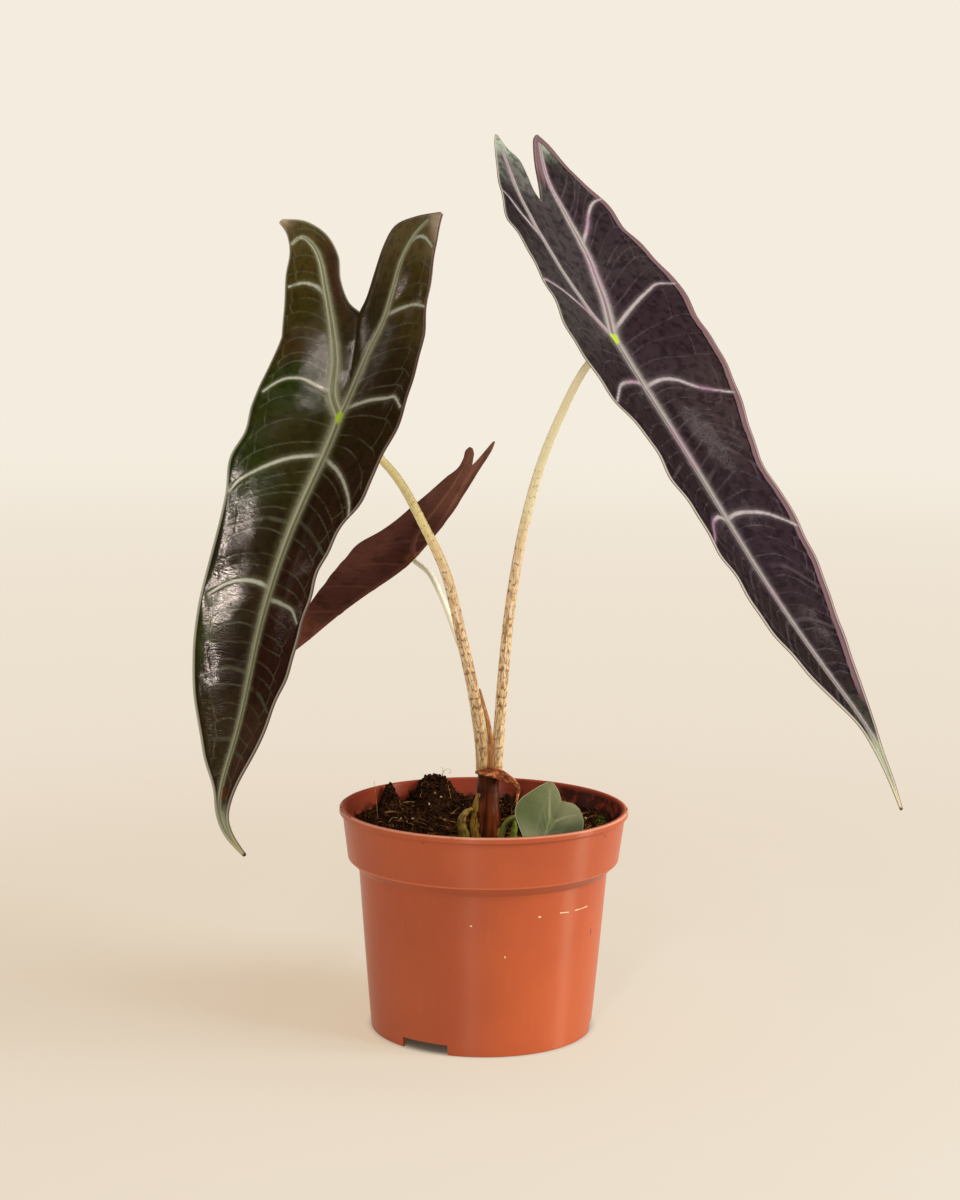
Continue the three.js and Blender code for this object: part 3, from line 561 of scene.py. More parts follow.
@dataclass(frozen=True)
class PotPlastic(Finish):
    """Satin terracotta-coloured plastic with specks of soil, a few pale scratches and painted light
    and shade.
    """

    name: str = "pot_plastic"
    body: str = "b5552b"
    shaded: str = "ad4f2a"
    worn: str = "c8744b"
    lip: str = "e0a68c"
    lit: str = "e07a48"
    inner: str = "86382a"
    dirt: str = "3b2014"
    scratch: str = "f0cfae"
    scratches: Strokes = (
        ((31.1, -40.4, 58.4), (34.4, -37.5, 58.0), 0.28),
        ((37.4, -34.6, 58.0), (42.3, -28.4, 58.1), 0.3),
        ((22.5, -45.7, 58.0), (23.0, -45.5, 58.0), 0.45),
        ((-4.8, -50.5, 55.3), (-4.4, -50.5, 55.2), 0.4),
        ((9.0, -48.8, 42.5), (9.1, -48.8, 42.1), 0.35),
    )
    smudges: Strokes = (
        ((44.3, -23.4, 45.5), (44.6, -23.6, 49.5), 0.7),
        ((-58.3, 14.5, 93.0), (-59.8, -1.0, 93.0), 0.6),
        ((-59.8, -1.0, 93.0), (-58.2, -13.5, 93.0), 0.7),
        ((-58.2, -13.5, 93.0), (-54.0, -25.0, 93.0), 0.5),
        ((59.8, 2.0, 93.0), (58.5, -12.0, 93.0), 0.5),
        ((-23.9, -53.5, 89.2), (-23.7, -53.6, 89.6), 0.5),
        ((48.8, -32.1, 87.6), (48.8, -32.1, 88.8), 0.45),
        ((53.7, -20.3, 80.0), (53.8, -20.2, 80.8), 0.5),
        ((53.3, -24.3, 88.9), (53.4, -24.2, 89.2), 0.4),
        ((31.1, -48.0, 78.7), (31.2, -47.9, 78.9), 0.35),
        ((-12.9, -58.6, 92.7), (-12.2, -58.7, 92.7), 0.5),
        ((-10.4, -52.5, 69.2), (-10.1, -52.5, 69.3), 0.4),
    )
    wall_line: Pair = (0.1304, 46.94)
    wall_depth: Pair = (0.5, 0.9)
    inside_heights: Pair = (71.0, 73.5)
    lip_highlight_heights: Pair = (92.1, 92.8)
    lip_highlight_radii: Pair = (58.6, 59.3)
    soil_line: Pair = (90.0, 84.0)
    caked_x: Pair = (22.0, 34.0)
    caked_y: Pair = (-14.0, 2.0)
    caked_top: Pair = (92.3, 90.8)
    step_foot: Pair = (67.2, 67.9)
    step_top: Pair = (72.3, 71.6)
    step_depth: Pair = (0.7, 0.2)
    band_shadow_height: float = 67.6
    band_shadow_depth: Pair = (2.6, 1.8)

    def paint(self, s: Shader) -> None:
        """Paint the surface."""
        place = s.place()
        x, y, z = s.parts(place)
        cloud = s.noise(place, 0.02, 3)
        s.tone = s.mix(s.fade(cloud, 0.35, 0.65), self.shaded, self.body)
        streak = s.streaks(place, (0.6, 0.6, 0.03), 2)
        s.cover(self.worn, s.fade(streak, 0.55, 0.8), 0.12)
        radius = s.length(s.stretch(place, (1.0, 1.0, 0.0)))
        # Pale band round the lip's outer edge: a painted highlight along the lip.
        edge = s.times(s.fade(z, *self.lip_highlight_heights), s.fade(radius, *self.lip_highlight_radii))
        s.cover(self.lip, edge, 0.75)
        grit = s.noise(place, 0.35, 4)
        fleck = s.times(s.fade(s.cells(place, 0.22), 0.075, 0.03), s.fade(grit, 0.52, 0.62))
        s.cover(self.dirt, fleck, 0.7)
        depth = s.math("SUBTRACT", s.scaled(z, *self.wall_line), radius)
        # Darker red on the upper inner wall: painted shade inside the pot.
        within = s.times(s.fade(depth, *self.wall_depth), s.fade(z, *self.inside_heights))
        s.cover(self.inner, within, 0.8)
        soiled = s.times(within, s.fade(z, *self.soil_line))
        s.cover(self.dirt, soiled, s.fade(grit, 0.42, 0.6))
        caked = s.times(s.fade(x, *self.caked_x), s.fade(y, *self.caked_y))
        caked = s.times(caked, within, s.fade(z, *self.caked_top))
        caked = s.times(caked, s.fade(s.noise(place, 0.16, 4), 0.36, 0.5))
        s.cover(self.dirt, caked, 0.9)
        for start, end, width in self.scratches:
            s.cover(self.scratch, s.stroke(place, start, end, width))
        for start, end, width in self.smudges:
            mark = s.times(s.stroke(place, start, end, width), s.fade(grit, 0.3, 0.55))
            s.cover(self.dirt, mark, 0.75)
        # Lighter orange on the shoulder under the band: painted bounce light where shade falls.
        beneath = s.times(s.fade(z, *self.step_foot), s.fade(z, *self.step_top))
        beneath = s.times(beneath, s.fade(depth, *self.step_depth))
        s.cover(self.lit, beneath, 0.7)
        # Thin dark line at the band's foot, outside only: a painted shadow line, not a groove.
        groove = s.fade(s.apart(z, self.band_shadow_height), 0.5, 0.2)
        s.cover(self.inner, s.times(groove, s.fade(depth, *self.band_shadow_depth)), 0.6)
        round_axis = s.nodes.new("ShaderNodeTangent")
        round_axis.direction_type = "RADIAL"
        round_axis.axis = "Z"
        s.set(base_color=s.tone, specular_ior_level=0.5, tangent=round_axis.outputs[0])
        s.set(anisotropic=0.95, anisotropic_rotation=0.25)
        s.set(roughness=s.scaled(streak, 0.06, 0.36))
        s.bump(s.streaks(place, (0.5, 0.5, 0.12), 3), 0.1, 0.2)
        s.bump(s.noise(place, 3.0, 2), 0.02, 0.4)


@dataclass(frozen=True)
class Peat(Finish):
    """Damp black-brown peat, or one of the loose bits in it."""

    name: str = "peat"
    dark: str = "150a04"
    light: str = "452a13"
    roughness: float = 0.75
    grain: float = 0.9

    def paint(self, s: Shader) -> None:
        """Paint the surface."""
        place = s.place()
        grain = s.noise(place, self.grain, 6)
        fleck = s.noise(place, 0.25, 3)
        s.tone = s.mix(s.fade(grain, 0.42, 0.72), self.dark, self.light)
        s.cover(self.dark, s.fade(fleck, 0.45, 0.7), 0.5)
        s.set(base_color=s.tone, specular_ior_level=0.08)
        s.set(roughness=s.scaled(grain, -0.35, self.roughness + 0.12))
        s.bump(grain, 0.5, 0.9)


@dataclass(frozen=True)
class StalkSkin(Finish):
    """Petiole skin: beige below, yellow-green above, with broken dark brown rings and dashes."""

    name: str
    foot: str = "edcf9c"
    low: str = "eed0a0"
    high: str = "fff8cc"
    base: str = "d2b466"
    cream: str = "fff2dc"
    ring: str = "6e4722"
    mottle: str = "9a6e3e"
    turn_start: float = 40.0
    turn_end: float = 110.0
    ring_step: float = 3.7
    ring_fade: float = 150.0
    ring_stagger: float = 1.5
    sway: Pair = (40.0, -20.0)
    foot_turn: Pair = (55.0, 5.0)
    blot_turn: Pair = (105.0, 50.0)
    base_turn: Pair = (20.0, 2.0)
    amount: float = 0.85

    def paint(self, s: Shader) -> None:
        """Paint the surface."""
        flow = s.attribute("flow", "Vector")
        way = s.parts(flow)[2]
        sway = s.streaks(flow, (0.45, 0.45, 0.05), 1)
        change = s.math("ADD", way, s.scaled(sway, *self.sway))
        s.tone = s.mix(s.fade(change, *self.foot_turn), self.low, self.foot)
        s.cover(self.high, s.fade(change, self.turn_start, self.turn_end))
        streak = s.streaks(flow, (1.6, 1.6, 0.12), 3)
        paler = s.times(s.fade(streak, 0.5, 0.66), s.fade(change, self.turn_end, self.turn_start))
        s.cover(self.cream, paler, 0.75)
        fading = s.fade(change, self.ring_fade + 50, self.ring_fade - 60)
        blot = s.streaks(flow, (1.7, 1.7, 0.3), 5)
        higher = s.scaled(s.fade(change, *self.blot_turn), 0.5, 0.35)
        s.cover(self.mottle, s.times(s.fade(blot, 0.45, 0.6), higher), fading)
        stagger = s.streaks(flow, (0.4, 0.4, 0.12), 2)
        phase = s.scaled(stagger, self.ring_stagger, s.times(way, 1 / self.ring_step))
        near = s.apart(s.math("FRACT", phase), 0.5)
        broken = s.streaks(flow, (0.7, 0.7, 0.5), 3)
        ring = s.times(s.fade(near, 0.22, 0.03), s.fade(broken, 0.48, 0.58))
        ticks = s.streaks(flow, (2.4, 2.4, 0.5), 3)
        tick = s.times(s.fade(near, 0.42, 0.1), s.fade(ticks, 0.56, 0.7))
        marks = s.most(ring, s.times(tick, 0.5))
        marks = s.times(marks, fading)
        s.cover(self.ring, marks, self.amount)
        s.cover(self.base, s.fade(change, *self.base_turn), 0.4)
        s.set(base_color=s.tone, roughness=0.42, specular_ior_level=0.4)
        s.bump(streak, 0.08, 0.5)
        s.bump(marks, -0.05, 0.6)


@dataclass(frozen=True)
class NeckSkin(Finish):
    """Glossy brown neck with olive strips down its sides, pale root tips and a painted reddish
    highlight.
    """

    name: str = "neck_skin"
    brown: str = "3c1b0d"
    chestnut: str = "763717"
    olive: str = "a88a3c"
    root: str = "b09a78"
    husk: str = "6a4318"
    dark_line: str = "1a0b05"
    highlight_x: float = 2.4
    highlight_top: Pair = (104.0, 96.0)
    root_heights: Pair = (62.0, 48.0)
    strips: tuple[tuple[float, ...], ...] = ((-1.1, -1.9, 97.0, 103.0), (5.7, 6.3, 83.0, 88.0))

    def paint(self, s: Shader) -> None:
        """Paint the surface."""
        place = s.place()
        flow = s.attribute("flow", "Vector")
        x, _, z = s.parts(place)
        streak = s.streaks(flow, (0.5, 0.5, 0.06), 4)
        s.tone = s.mix(s.fade(streak, 0.42, 0.68), self.brown, self.chestnut)
        # Narrow reddish band down the front of the neck's upper part: a painted highlight.
        reddish_highlight = s.times(s.fade(s.apart(x, self.highlight_x), 1.7, 0.2), s.fade(z, *self.highlight_top))
        s.cover(self.chestnut, reddish_highlight, 0.7)
        sway = s.math("SUBTRACT", s.streaks(flow, (0.3, 0.3, 0.16), 3), 0.5)
        mottled = s.streaks(flow, (1.6, 1.6, 0.5), 4)
        husk = s.mix(s.fade(mottled, 0.38, 0.54), self.husk, self.olive)
        bent = s.scaled(sway, 5.0, x)
        tall = s.scaled(sway, 12.0, z)
        for inner, outer, low, high in self.strips:
            share = s.times(s.fade(bent, inner, outer), s.fade(tall, high, low))
            dark_line = s.times(share, s.fade(share, 0.9, 0.5))
            s.cover(husk, share)
            s.cover(self.dark_line, dark_line, 3.0)
        s.cover(self.root, s.fade(z, *self.root_heights))
        s.set(base_color=s.tone, roughness=0.32, specular_ior_level=0.22)
        s.bump(streak, 0.25, 0.5)


@dataclass(frozen=True)
class DrySkin(Finish):
    """Withered orange-brown tissue, darker in its wrinkles' hollows and paler on their crests:
    painted shade and highlights.
    """

    name: str = "dry_skin"
    light: str = "b96a38"
    dark: str = "6e3418"
    pale: str = "dca066"

    def paint(self, s: Shader) -> None:
        """Paint the surface."""
        flow = s.attribute("flow", "Vector")
        wrinkle = s.streaks(flow, (0.22, 1.5, 0.7), 5)
        blotch = s.noise(flow, 0.3, 3)
        # Tone follows the wrinkles' relief: darker in the hollows, painted shade in the creases;
        # pale patches on the crests are painted highlights.
        s.tone = s.mix(s.fade(wrinkle, 0.36, 0.6), self.dark, self.light)
        s.cover(self.pale, s.fade(blotch, 0.52, 0.66), s.fade(wrinkle, 0.48, 0.6))
        s.cover(self.dark, s.fade(blotch, 0.45, 0.3), 0.7)
        s.set(base_color=s.tone, roughness=0.55, specular_ior_level=0.35)
        s.bump(wrinkle, 0.35, 0.8)


@dataclass(frozen=True)
class PlainSkin(Finish):
    """Simple plant skin: two colours mixed along the way, with a third in blotches."""

    name: str
    start: str
    end: str
    blotch: str
    turn: Pair = (2.0, 14.0)
    amount: float = 0.5
    roughness: float = 0.45

    def paint(self, s: Shader) -> None:
        """Paint the surface."""
        flow = s.attribute("flow", "Vector")
        way = s.parts(flow)[2]
        s.tone = s.mix(s.fade(way, *self.turn), self.start, self.end)
        patch = s.streaks(flow, (0.5, 0.5, 0.25), 4)
        s.cover(self.blotch, s.fade(patch, 0.48, 0.62), self.amount)
        s.set(base_color=s.tone, roughness=self.roughness, specular_ior_level=0.4)
        s.bump(patch, 0.15, 0.5)


@dataclass(frozen=True)
class BladeSkin(Finish):
    """Leaf skin: dark ground, feathered pale ribs and laterals, faint threads and a pale margin.

    The points carry the attributes that it reads: "ground" and "below" (colours of the two
    faces), "rib", "lateral" and "thread" (distance to the nearest vein over its half width),
    "edge" (distance to the margin), "upper" (1 above, 0 below), "along" and "across".
    """

    name: str
    tip: float
    core: str = "929278"
    halo: str = "616247"
    centre: str = "666b47"
    lateral: str = "b3b7aa"
    thread: str = "5b5f49"
    knot: str = "a6c132"
    margin: str = "a5a694"
    rim: str = "57393c"
    left_rim: str = "a3a28f"
    tip_pale: str = "99a286"
    tip_end: str = "b9b383"
    blush: str = "75446a"
    blush_amount: float = 0.0
    strip: str = "6d5559"
    strip_width: float = 0.0
    pale_start: float = 26.0
    thread_amount: float = 0.45
    mottle: float = 0.35
    roughness: float = 0.15
    specular: float = 0.6
    under_core: str = "7a5548"
    under_veins: float = 0.5
    edge_scale: float = 1.0
    mark: str = "5c2d14"
    tip_point: str = "4a2a1c"
    night: Colour = (0.003, 0.002, 0.003, 1.0)
    marks: Strokes = ()
    waxy: Strokes = ()
    least_gloss: float = 0.07
    pale_length: float = 12.0
    end_length: Pair = (14, 5)
    point_length: Pair = (1.6, 0.5)
    sunken: Pair = (-20.0, 90.0)
    rim_width: Pair = (0.5, 0.25)
    margin_width: Pair = (1.15, 0.65)
    knot_size: Pair = (2.6, 1.3)
    under_knot_size: Pair = (4.5, 2.2)

    def paint(self, s: Shader) -> None:
        """Paint the surface."""
        along, across = s.attribute("along"), s.attribute("across")
        plane = s.nodes.new("ShaderNodeCombineXYZ")
        s.feed(plane.inputs[0], along)
        s.feed(plane.inputs[1], across)
        flat = plane.outputs[0]
        rib, lateral, thread = (s.attribute(n) for n in ("rib", "lateral", "thread"))
        edge, upper = s.times(s.attribute("edge"), self.edge_scale), s.attribute("upper")

        ticks = s.math("SUBTRACT", s.streaks(flat, (3.2, 0.5, 1.0), 3), 0.5)
        soft = s.math("SUBTRACT", s.noise(flat, 0.35, 3), 0.5)
        inner = s.math("ADD", edge, s.times(soft, 0.8))
        frayed = s.scaled(ticks, 1.8, s.times(soft, 0.7))
        rib_frayed = s.scaled(frayed, 0.5, rib)
        lateral_frayed = s.scaled(frayed, 1.8, lateral)
        patches = s.noise(flat, 0.12, 3)
        areole = s.cells(s.shaken(flat, 0.3, (2.5, 2.5, 0.0)), 0.34)

        s.tone = s.attribute("ground", "Color")
        spots = s.times(s.fade(areole, 0.62, 0.18), s.fade(patches, 0.36, 0.6))
        cloud = s.times(s.fade(s.noise(flat, 0.26, 4), 0.48, 0.62), 0.7)
        s.cover(self.night, s.most(s.times(spots, 0.6), cloud), self.mottle)
        if self.strip_width:
            right = s.fade(across, 4.0, 8.0)
            # Dark line just inside the mauve strip on the right margin: a painted shadow line.
            dark_line = s.times(s.fade(inner, self.strip_width + 0.9, self.strip_width + 0.3), right)
            s.cover(self.night, dark_line, 0.8)
            strip = s.times(s.fade(inner, self.strip_width + 0.1, self.strip_width - 0.3), right)
            s.cover(self.strip, strip, 0.9)
        blush = s.times(s.fade(s.noise(flat, 0.03, 2), 0.5, 0.64), self.blush_amount)
        core = s.mix(s.times(blush, 0.25), self.core, self.blush)
        centre = s.mix(s.times(blush, 0.8), self.centre, self.blush)
        halo = s.mix(s.times(blush, 0.4), self.halo, self.blush)

        fine = s.times(s.fade(thread, 2.0, 0.3), s.fade(patches, 0.3, 0.6))
        s.cover(self.thread, fine, self.thread_amount)
        glow = s.math("POWER", s.fade(lateral_frayed, 4.6, 0.3), 1.6)
        s.cover(halo, glow, 0.6)
        lines = s.fade(s.scaled(ticks, 0.9, s.math("ADD", lateral, s.times(soft, 0.8))), 1.55, 0.3)
        s.cover(s.mix(blush, self.lateral, self.blush), lines, 0.78)
        glow = s.math("POWER", s.fade(rib_frayed, 2.8, 0.4), 1.4)
        s.cover(halo, glow, 0.75)
        s.cover(core, s.fade(rib_frayed, 1.6, 0.3), 0.8)
        lines = s.times(s.fade(rib, 0.25, 0.45), s.fade(rib, 0.75, 0.5))
        s.cover(self.lateral, lines, 0.45)
        s.cover(centre, s.fade(rib, 0.42, 0.15), 0.75)

        pale_start = self.tip - self.pale_start
        pale = s.fade(s.scaled(soft, 6.0, along), pale_start, pale_start + self.pale_length)
        s.cover(self.tip_pale, pale, 0.9)
        s.cover(self.tip_end, s.fade(along, *(self.tip - way for way in self.end_length)))
        lower = s.fade(along, *self.sunken)
        shadow = s.times(s.fade(edge, 0.9, 1.2), s.fade(edge, 2.2, 1.4))
        s.cover(self.night, shadow, s.scaled(lower, 0.3, 0.05))
        line = s.times(s.fade(edge, *self.margin_width), s.scaled(lower, 0.6, 0.15))
        s.cover(self.margin, line)
        rim = s.mix(s.fade(across, -1.0, 1.0), self.left_rim, self.rim)
        s.cover(rim, s.fade(edge, *self.rim_width), 0.85)
        for start, end, width in self.marks:
            mark = s.stroke(flat, (*start, 0.0), (*end, 0.0), width)
            s.cover(self.mark, mark, 0.8)
        knot = s.length(s.stretch(flat, (0.75, 1.0, 0.0)))
        knot = s.math("ADD", knot, s.times(soft, 1.6))
        s.cover(self.knot, s.fade(knot, *self.knot_size), 0.9)

        above, s.tone = s.tone, s.attribute("below", "Color")
        veins = s.most(s.fade(rib, 1.3, 0.4), s.times(s.fade(lateral, 2.4, 0.6), 0.6))
        veins = s.most(veins, s.times(s.fade(thread, 2.0, 0.3), 0.3))
        s.cover(self.under_core, veins, self.under_veins)
        s.cover(self.night, s.fade(patches, 0.5, 0.3), 0.35)
        s.cover(self.tip_pale, pale, 0.85)
        s.cover(self.tip_end, s.fade(knot, *self.under_knot_size))
        s.cover(above, s.fade(upper, 0.4, 0.6))
        s.cover(self.tip_point, s.fade(along, *(self.tip - way for way in self.point_length)))
        s.set(base_color=s.tone)
        moved = s.shaken(flat, 0.15, (8.0, 8.0, 0.0))
        moved = s.vector("SUBTRACT", moved, (4.0, 4.0, 0.0)).outputs[0]
        waxy = 0.0
        for start, end, width in self.waxy:
            waxy = s.most(waxy, s.stroke(moved, (*start, 0.0), (*end, 0.0), width))
        waxy = s.scaled(waxy, self.specular, self.least_gloss)
        s.set(specular_ior_level=s.times(waxy, s.fade(upper, 0.4, 0.6)))
        gloss = s.scaled(s.noise(flat, 0.5, 4), 0.14, self.roughness - 0.07)
        gloss = s.scaled(s.fade(upper, 0.6, 0.4), 0.26, gloss)
        s.set(roughness=s.scaled(s.fade(rib, 1.6, 0.8), 0.14, gloss))
        s.bump(s.streaks(s.shaken(flat, 0.12, (3.0, 0.0, 0.0)), (2.2, 0.2, 1.0), 4), 0.2, 0.42)
        s.bump(s.noise(flat, 1.2, 3), 0.1, 0.1)
        s.bump(s.fade(thread, 1.6, 0.2), -0.05, 0.3)


class Part:
    """A sub-assembly: it models its main piece and dresses it."""

    node: str | None
    slot: str
    finish: Finish

    def build(self) -> Piece:
        """Model the main piece."""
        raise NotImplementedError

    def dress(self, piece: Piece) -> None:
        """Give the piece its finish, and hide the solid that it stands for."""
        finish_piece(piece, self.finish, self.slot, *([self.node] if self.node else []))


# Leaf blades


class Side(Enum):
    """Half of a blade, seen from above with the tip away."""

    LEFT = -1
    RIGHT = 1

    def trace(self, pairs: Pairs) -> list[Pair]:
        """Lay pairs given as ways along and from the midrib on this side."""
        return [(s, self.value * u) for s, u in pairs]


@dataclass(frozen=True)
class Half:
    """Outline and veins of half a blade, as pairs of the way along the midrib and from it."""

    margin: Pairs
    lobe_outer: Pairs
    lobe_inner: Pairs
    costa: Pairs
    laterals: tuple[Pairs, ...] = ()
    faint: tuple[Pairs, ...] = ()


@dataclass(frozen=True)
class BladeForm:
    """Shape of a blade, with the same rows and outlines as its plain solid."""

    path: Sequence[tuple[float, ...]]
    tip: float
    sinus: float
    thickness: float
    ridge: float
    left: Half
    right: Half


@dataclass(frozen=True)
class Fineness:
    """How finely a blade is divided."""

    blade_rows: int
    lobe_rows: int
    columns: int


class BladePlane:
    """The curved surface that a blade's flat pattern is laid on."""

    CREASE = 1.6

    def __init__(self, form: BladeForm) -> None:
        """Read the columns of the blade's path."""
        rows = np.array(form.path, float)
        self.columns = NaturalCubic(rows[:, 0], rows[:, 1:])

    def frame(self, s: Array) -> tuple[Array, ...]:
        """Midrib places, the directions up and across there, and the folds, for ways s."""
        values = self.columns(s)
        along = self.columns(s + 0.5)[..., :3] - self.columns(s - 0.5)[..., :3]
        along /= np.linalg.norm(along, axis=-1, keepdims=True)
        turn = np.radians(values[..., 3])
        up = np.stack([np.sin(turn), -np.cos(turn), np.zeros_like(turn)], axis=-1)
        up -= along * (up * along).sum(-1, keepdims=True)
        up /= np.linalg.norm(up, axis=-1, keepdims=True)
        return values[..., :3], up, np.cross(up, along), np.radians(values[..., 4:6])

    def point(self, s: Array, u: Array) -> Array:
        """Places in space for ways s along the midrib and u across it."""
        middle, up, across, folds = self.frame(s)
        fold = np.where(u < 0, folds[..., 0], folds[..., 1])[..., None]
        reach = u[..., None]
        return middle + across * reach * np.cos(fold) + up * np.abs(reach) * np.sin(fold)

    def normal(self, s: Array, u: Array) -> Array:
        """Directions out of the upper face, turned smoothly across the midrib's crease."""
        side = np.where(u < 0, -1.0, 1.0)
        outer = side * np.maximum(np.abs(u), 0.3)
        along = self.point(s + 0.5, outer) - self.point(s - 0.5, outer)
        across = (self.point(s, outer + 0.25 * side) - self.point(s, outer)) * side[..., None]
        flat = np.cross(along, across)
        flat /= np.linalg.norm(flat, axis=-1, keepdims=True)
        share = smooth(np.abs(u), 0.0, self.CREASE)[..., None]
        mixed = flat * share + self.frame(s)[1] * (1 - share)
        return mixed / np.linalg.norm(mixed, axis=-1, keepdims=True)


@dataclass(frozen=True)
class Vein:
    """A vein in the blade's plane, with its half width at both ends."""

    points: Pairs
    start: float
    end: float


FAR_VEIN = 12.0
VEIN_STEP = 1.6
VEIN_BATCH = 1500
VEIN_REACH = 14


def vein_distance(veins: Sequence[Vein], points: Array, relative: bool) -> Array:
    """Distance from points to the nearest of some veins.

    Args:
        veins: the veins.
        points: places in the blade's plane, one row each.
        relative: True to divide by the vein's half width at the nearest place.

    Returns:
        One distance for each point, no more than FAR_VEIN.
    """
    nearest = np.full(len(points), FAR_VEIN)
    if not veins:
        return nearest
    starts, ends, widths = [], [], []
    for vein in veins:
        curve = EvenCurve(vein.points)
        count = max(3, int(curve.length / VEIN_STEP))
        places = curve.at(np.linspace(0, 1, count))
        starts.append(places[:-1])
        ends.append(places[1:])
        widths.append(np.linspace(vein.start, vein.end, count)[:-1])
    start, line = np.vstack(starts), np.vstack(ends) - np.vstack(starts)
    width = np.concatenate(widths) if relative else np.ones(len(start))
    squares = np.maximum((line**2).sum(1), 1e-9)
    order = np.argsort(points[:, 0])
    for i in range(0, len(order), VEIN_BATCH):
        some = order[i : i + VEIN_BATCH]
        low, high = points[some[[0, -1]], 0]
        near = (start[:, 0] > low - VEIN_REACH) & (start[:, 0] < high + VEIN_REACH)
        if not near.any():
            continue
        away = points[some, None] - start[near]
        share = np.clip((away * line[near]).sum(2) / squares[near], 0, 1)
        apart = np.linalg.norm(away - share[..., None] * line[near], axis=2) / width[near]
        nearest[some] = np.minimum(nearest[some], apart.min(1))
    return nearest


@dataclass
class Blade(Part):
    """A leaf blade: flat pattern, wall, curved form, relief of the veins and attributes."""

    name: str
    node: str
    slot: str
    form: BladeForm
    finish: BladeSkin
    ground: Spots
    below: Spots
    fineness: Fineness = Fineness(300, 52, 54)
    rib_widths: Pair = (2.5, 0.8)
    costa_widths: Pair = (2.6, 0.7)
    lateral_widths: Pair = (0.85, 0.45)
    thread_step: float = 6.0
    bulge: float = 0.4
    ripple: float = 0.4
    drawn_in: float = 0.998
    swell: float = 0.3
    camber: float = 0.0
    seed: int = 1
    faint_widths: Pair = (0.75, 0.5)
    thread_widths: Pair = (0.34, 0.26)
    link_widths: Pair = (0.26, 0.24)
    blend_reach: float = 30.0
    blend_power: float = 2.5
    along_share: float = 0.6
    sides: dict[Side, Half] = field(init=False)

    def __post_init__(self) -> None:
        """Name the halves by their side."""
        self.sides = {Side.LEFT: self.form.left, Side.RIGHT: self.form.right}

    def build(self) -> Piece:
        """Model the blade and store what its finish reads."""
        halves = [self._half(side, half) for side, half in self.sides.items()]
        piece = join(self.name, halves)
        weld(piece)
        wall = piece.modifiers.new("wall", "SOLIDIFY")
        wall.thickness = MM
        wall.offset = 0.0
        apply_modifiers(piece)
        self._form(piece)
        shade(piece, 70)
        return piece

    def _half(self, side: Side, half: Half) -> Piece:
        """Model half of the flat pattern, as rows from the midline or sinus to the margin."""
        count = self.fineness
        share = np.linspace(0, 1, count.blade_rows + 1)
        margin = EvenCurve(half.margin).at(share)
        midline = np.stack(
            [self.form.tip + (self.form.sinus - self.form.tip) * share, 0 * share], axis=-1
        )
        lobe = np.linspace(0, 1, count.lobe_rows + 1)[1:]
        inner = np.vstack([midline, EvenCurve(half.lobe_inner).at(lobe)])
        outer = np.vstack([margin, EvenCurve(half.lobe_outer).at(lobe)])
        step = np.linspace(0, 1, count.columns + 1)[None, :, None]
        flat = inner[:, None] * (1 - step) + outer[:, None] * step
        places = np.concatenate([flat, np.zeros_like(flat[..., :1])], axis=-1)
        places[..., 1] *= side.value
        return grid_piece(f"{self.name}_{side.name.lower()}", places)

    def _outline(self) -> list[Vein]:
        """The blade's edge as lines of no width."""
        lines = []
        for side, half in self.sides.items():
            for pairs in (half.margin, half.lobe_outer, half.lobe_inner):
                lines.append(Vein(side.trace(pairs), 1, 1))
        return lines

    def _ribs(self) -> list[Vein]:
        """Midrib and costae."""
        tip = self.form.tip
        ribs = [Vein([(0, 0), (tip * 0.5, 0), (tip * 0.97, 0)], *self.rib_widths)]
        for side, half in self.sides.items():
            ribs.append(Vein(side.trace(half.costa), *self.costa_widths))
        return ribs

    def _laterals(self) -> list[Vein]:
        """Main side veins of both halves."""
        return [
            Vein(side.trace(pairs), *self.lateral_widths)
            for side, half in self.sides.items()
            for pairs in half.laterals
        ]

    def _threads(self) -> list[Vein]:
        """Thin veins that run between the laterals, and short links across them."""
        rng = np.random.default_rng(self.seed)
        share = np.linspace(0, 1, 7)
        threads = []
        for side, half in self.sides.items():
            threads.extend(Vein(side.trace(pairs), *self.faint_widths) for pairs in half.faint)
            family = sorted(half.laterals + half.faint, key=lambda pairs: pairs[0][0])
            family = [EvenCurve(pairs).at(share) for pairs in family or [half.costa]]
            wide = self.form.tip * 0.86
            family.append(EvenCurve(((wide, 0.3), (wide + 4, 2.0), (wide + 9, 3.2))).at(share))
            family.insert(0, family[0] - (0.13 * self.form.tip, -1.5))
            lines = []
            for lower, higher in zip(family[:-1], family[1:]):
                count = max(2, round((higher[0, 0] - lower[0, 0]) / self.thread_step))
                for k in range(count):
                    f = (k + rng.uniform(-0.25, 0.25)) / count if k else 0.0
                    arch = np.sin(share * math.pi * rng.uniform(0.8, 1.6)) * rng.normal(0, 0.9)
                    bow = np.stack([arch, 0 * arch], axis=-1) * (1.0 if k else 0.0)
                    lines.append(lower * (1 - f) + higher * f + bow * self.thread_step / 6)
            for line, following in zip(lines[:-1], lines[1:]):
                threads.append(Vein(side.trace(line), *self.thread_widths))
                place = rng.uniform(0.82, 0.93)
                start = self._along(line, place)
                end = self._along(following, place - rng.uniform(0.02, 0.1))
                middle = (start + end) / 2 + (0.0, 0.5)
                threads.append(Vein(side.trace([start, middle, end]), *self.link_widths))
        return threads

    @staticmethod
    def _along(line: Array, share: float) -> Array:
        """Place at a share of the way through a line's points."""
        steps = np.linspace(0, 1, len(line))
        return np.array([np.interp(share, steps, column) for column in line.T])

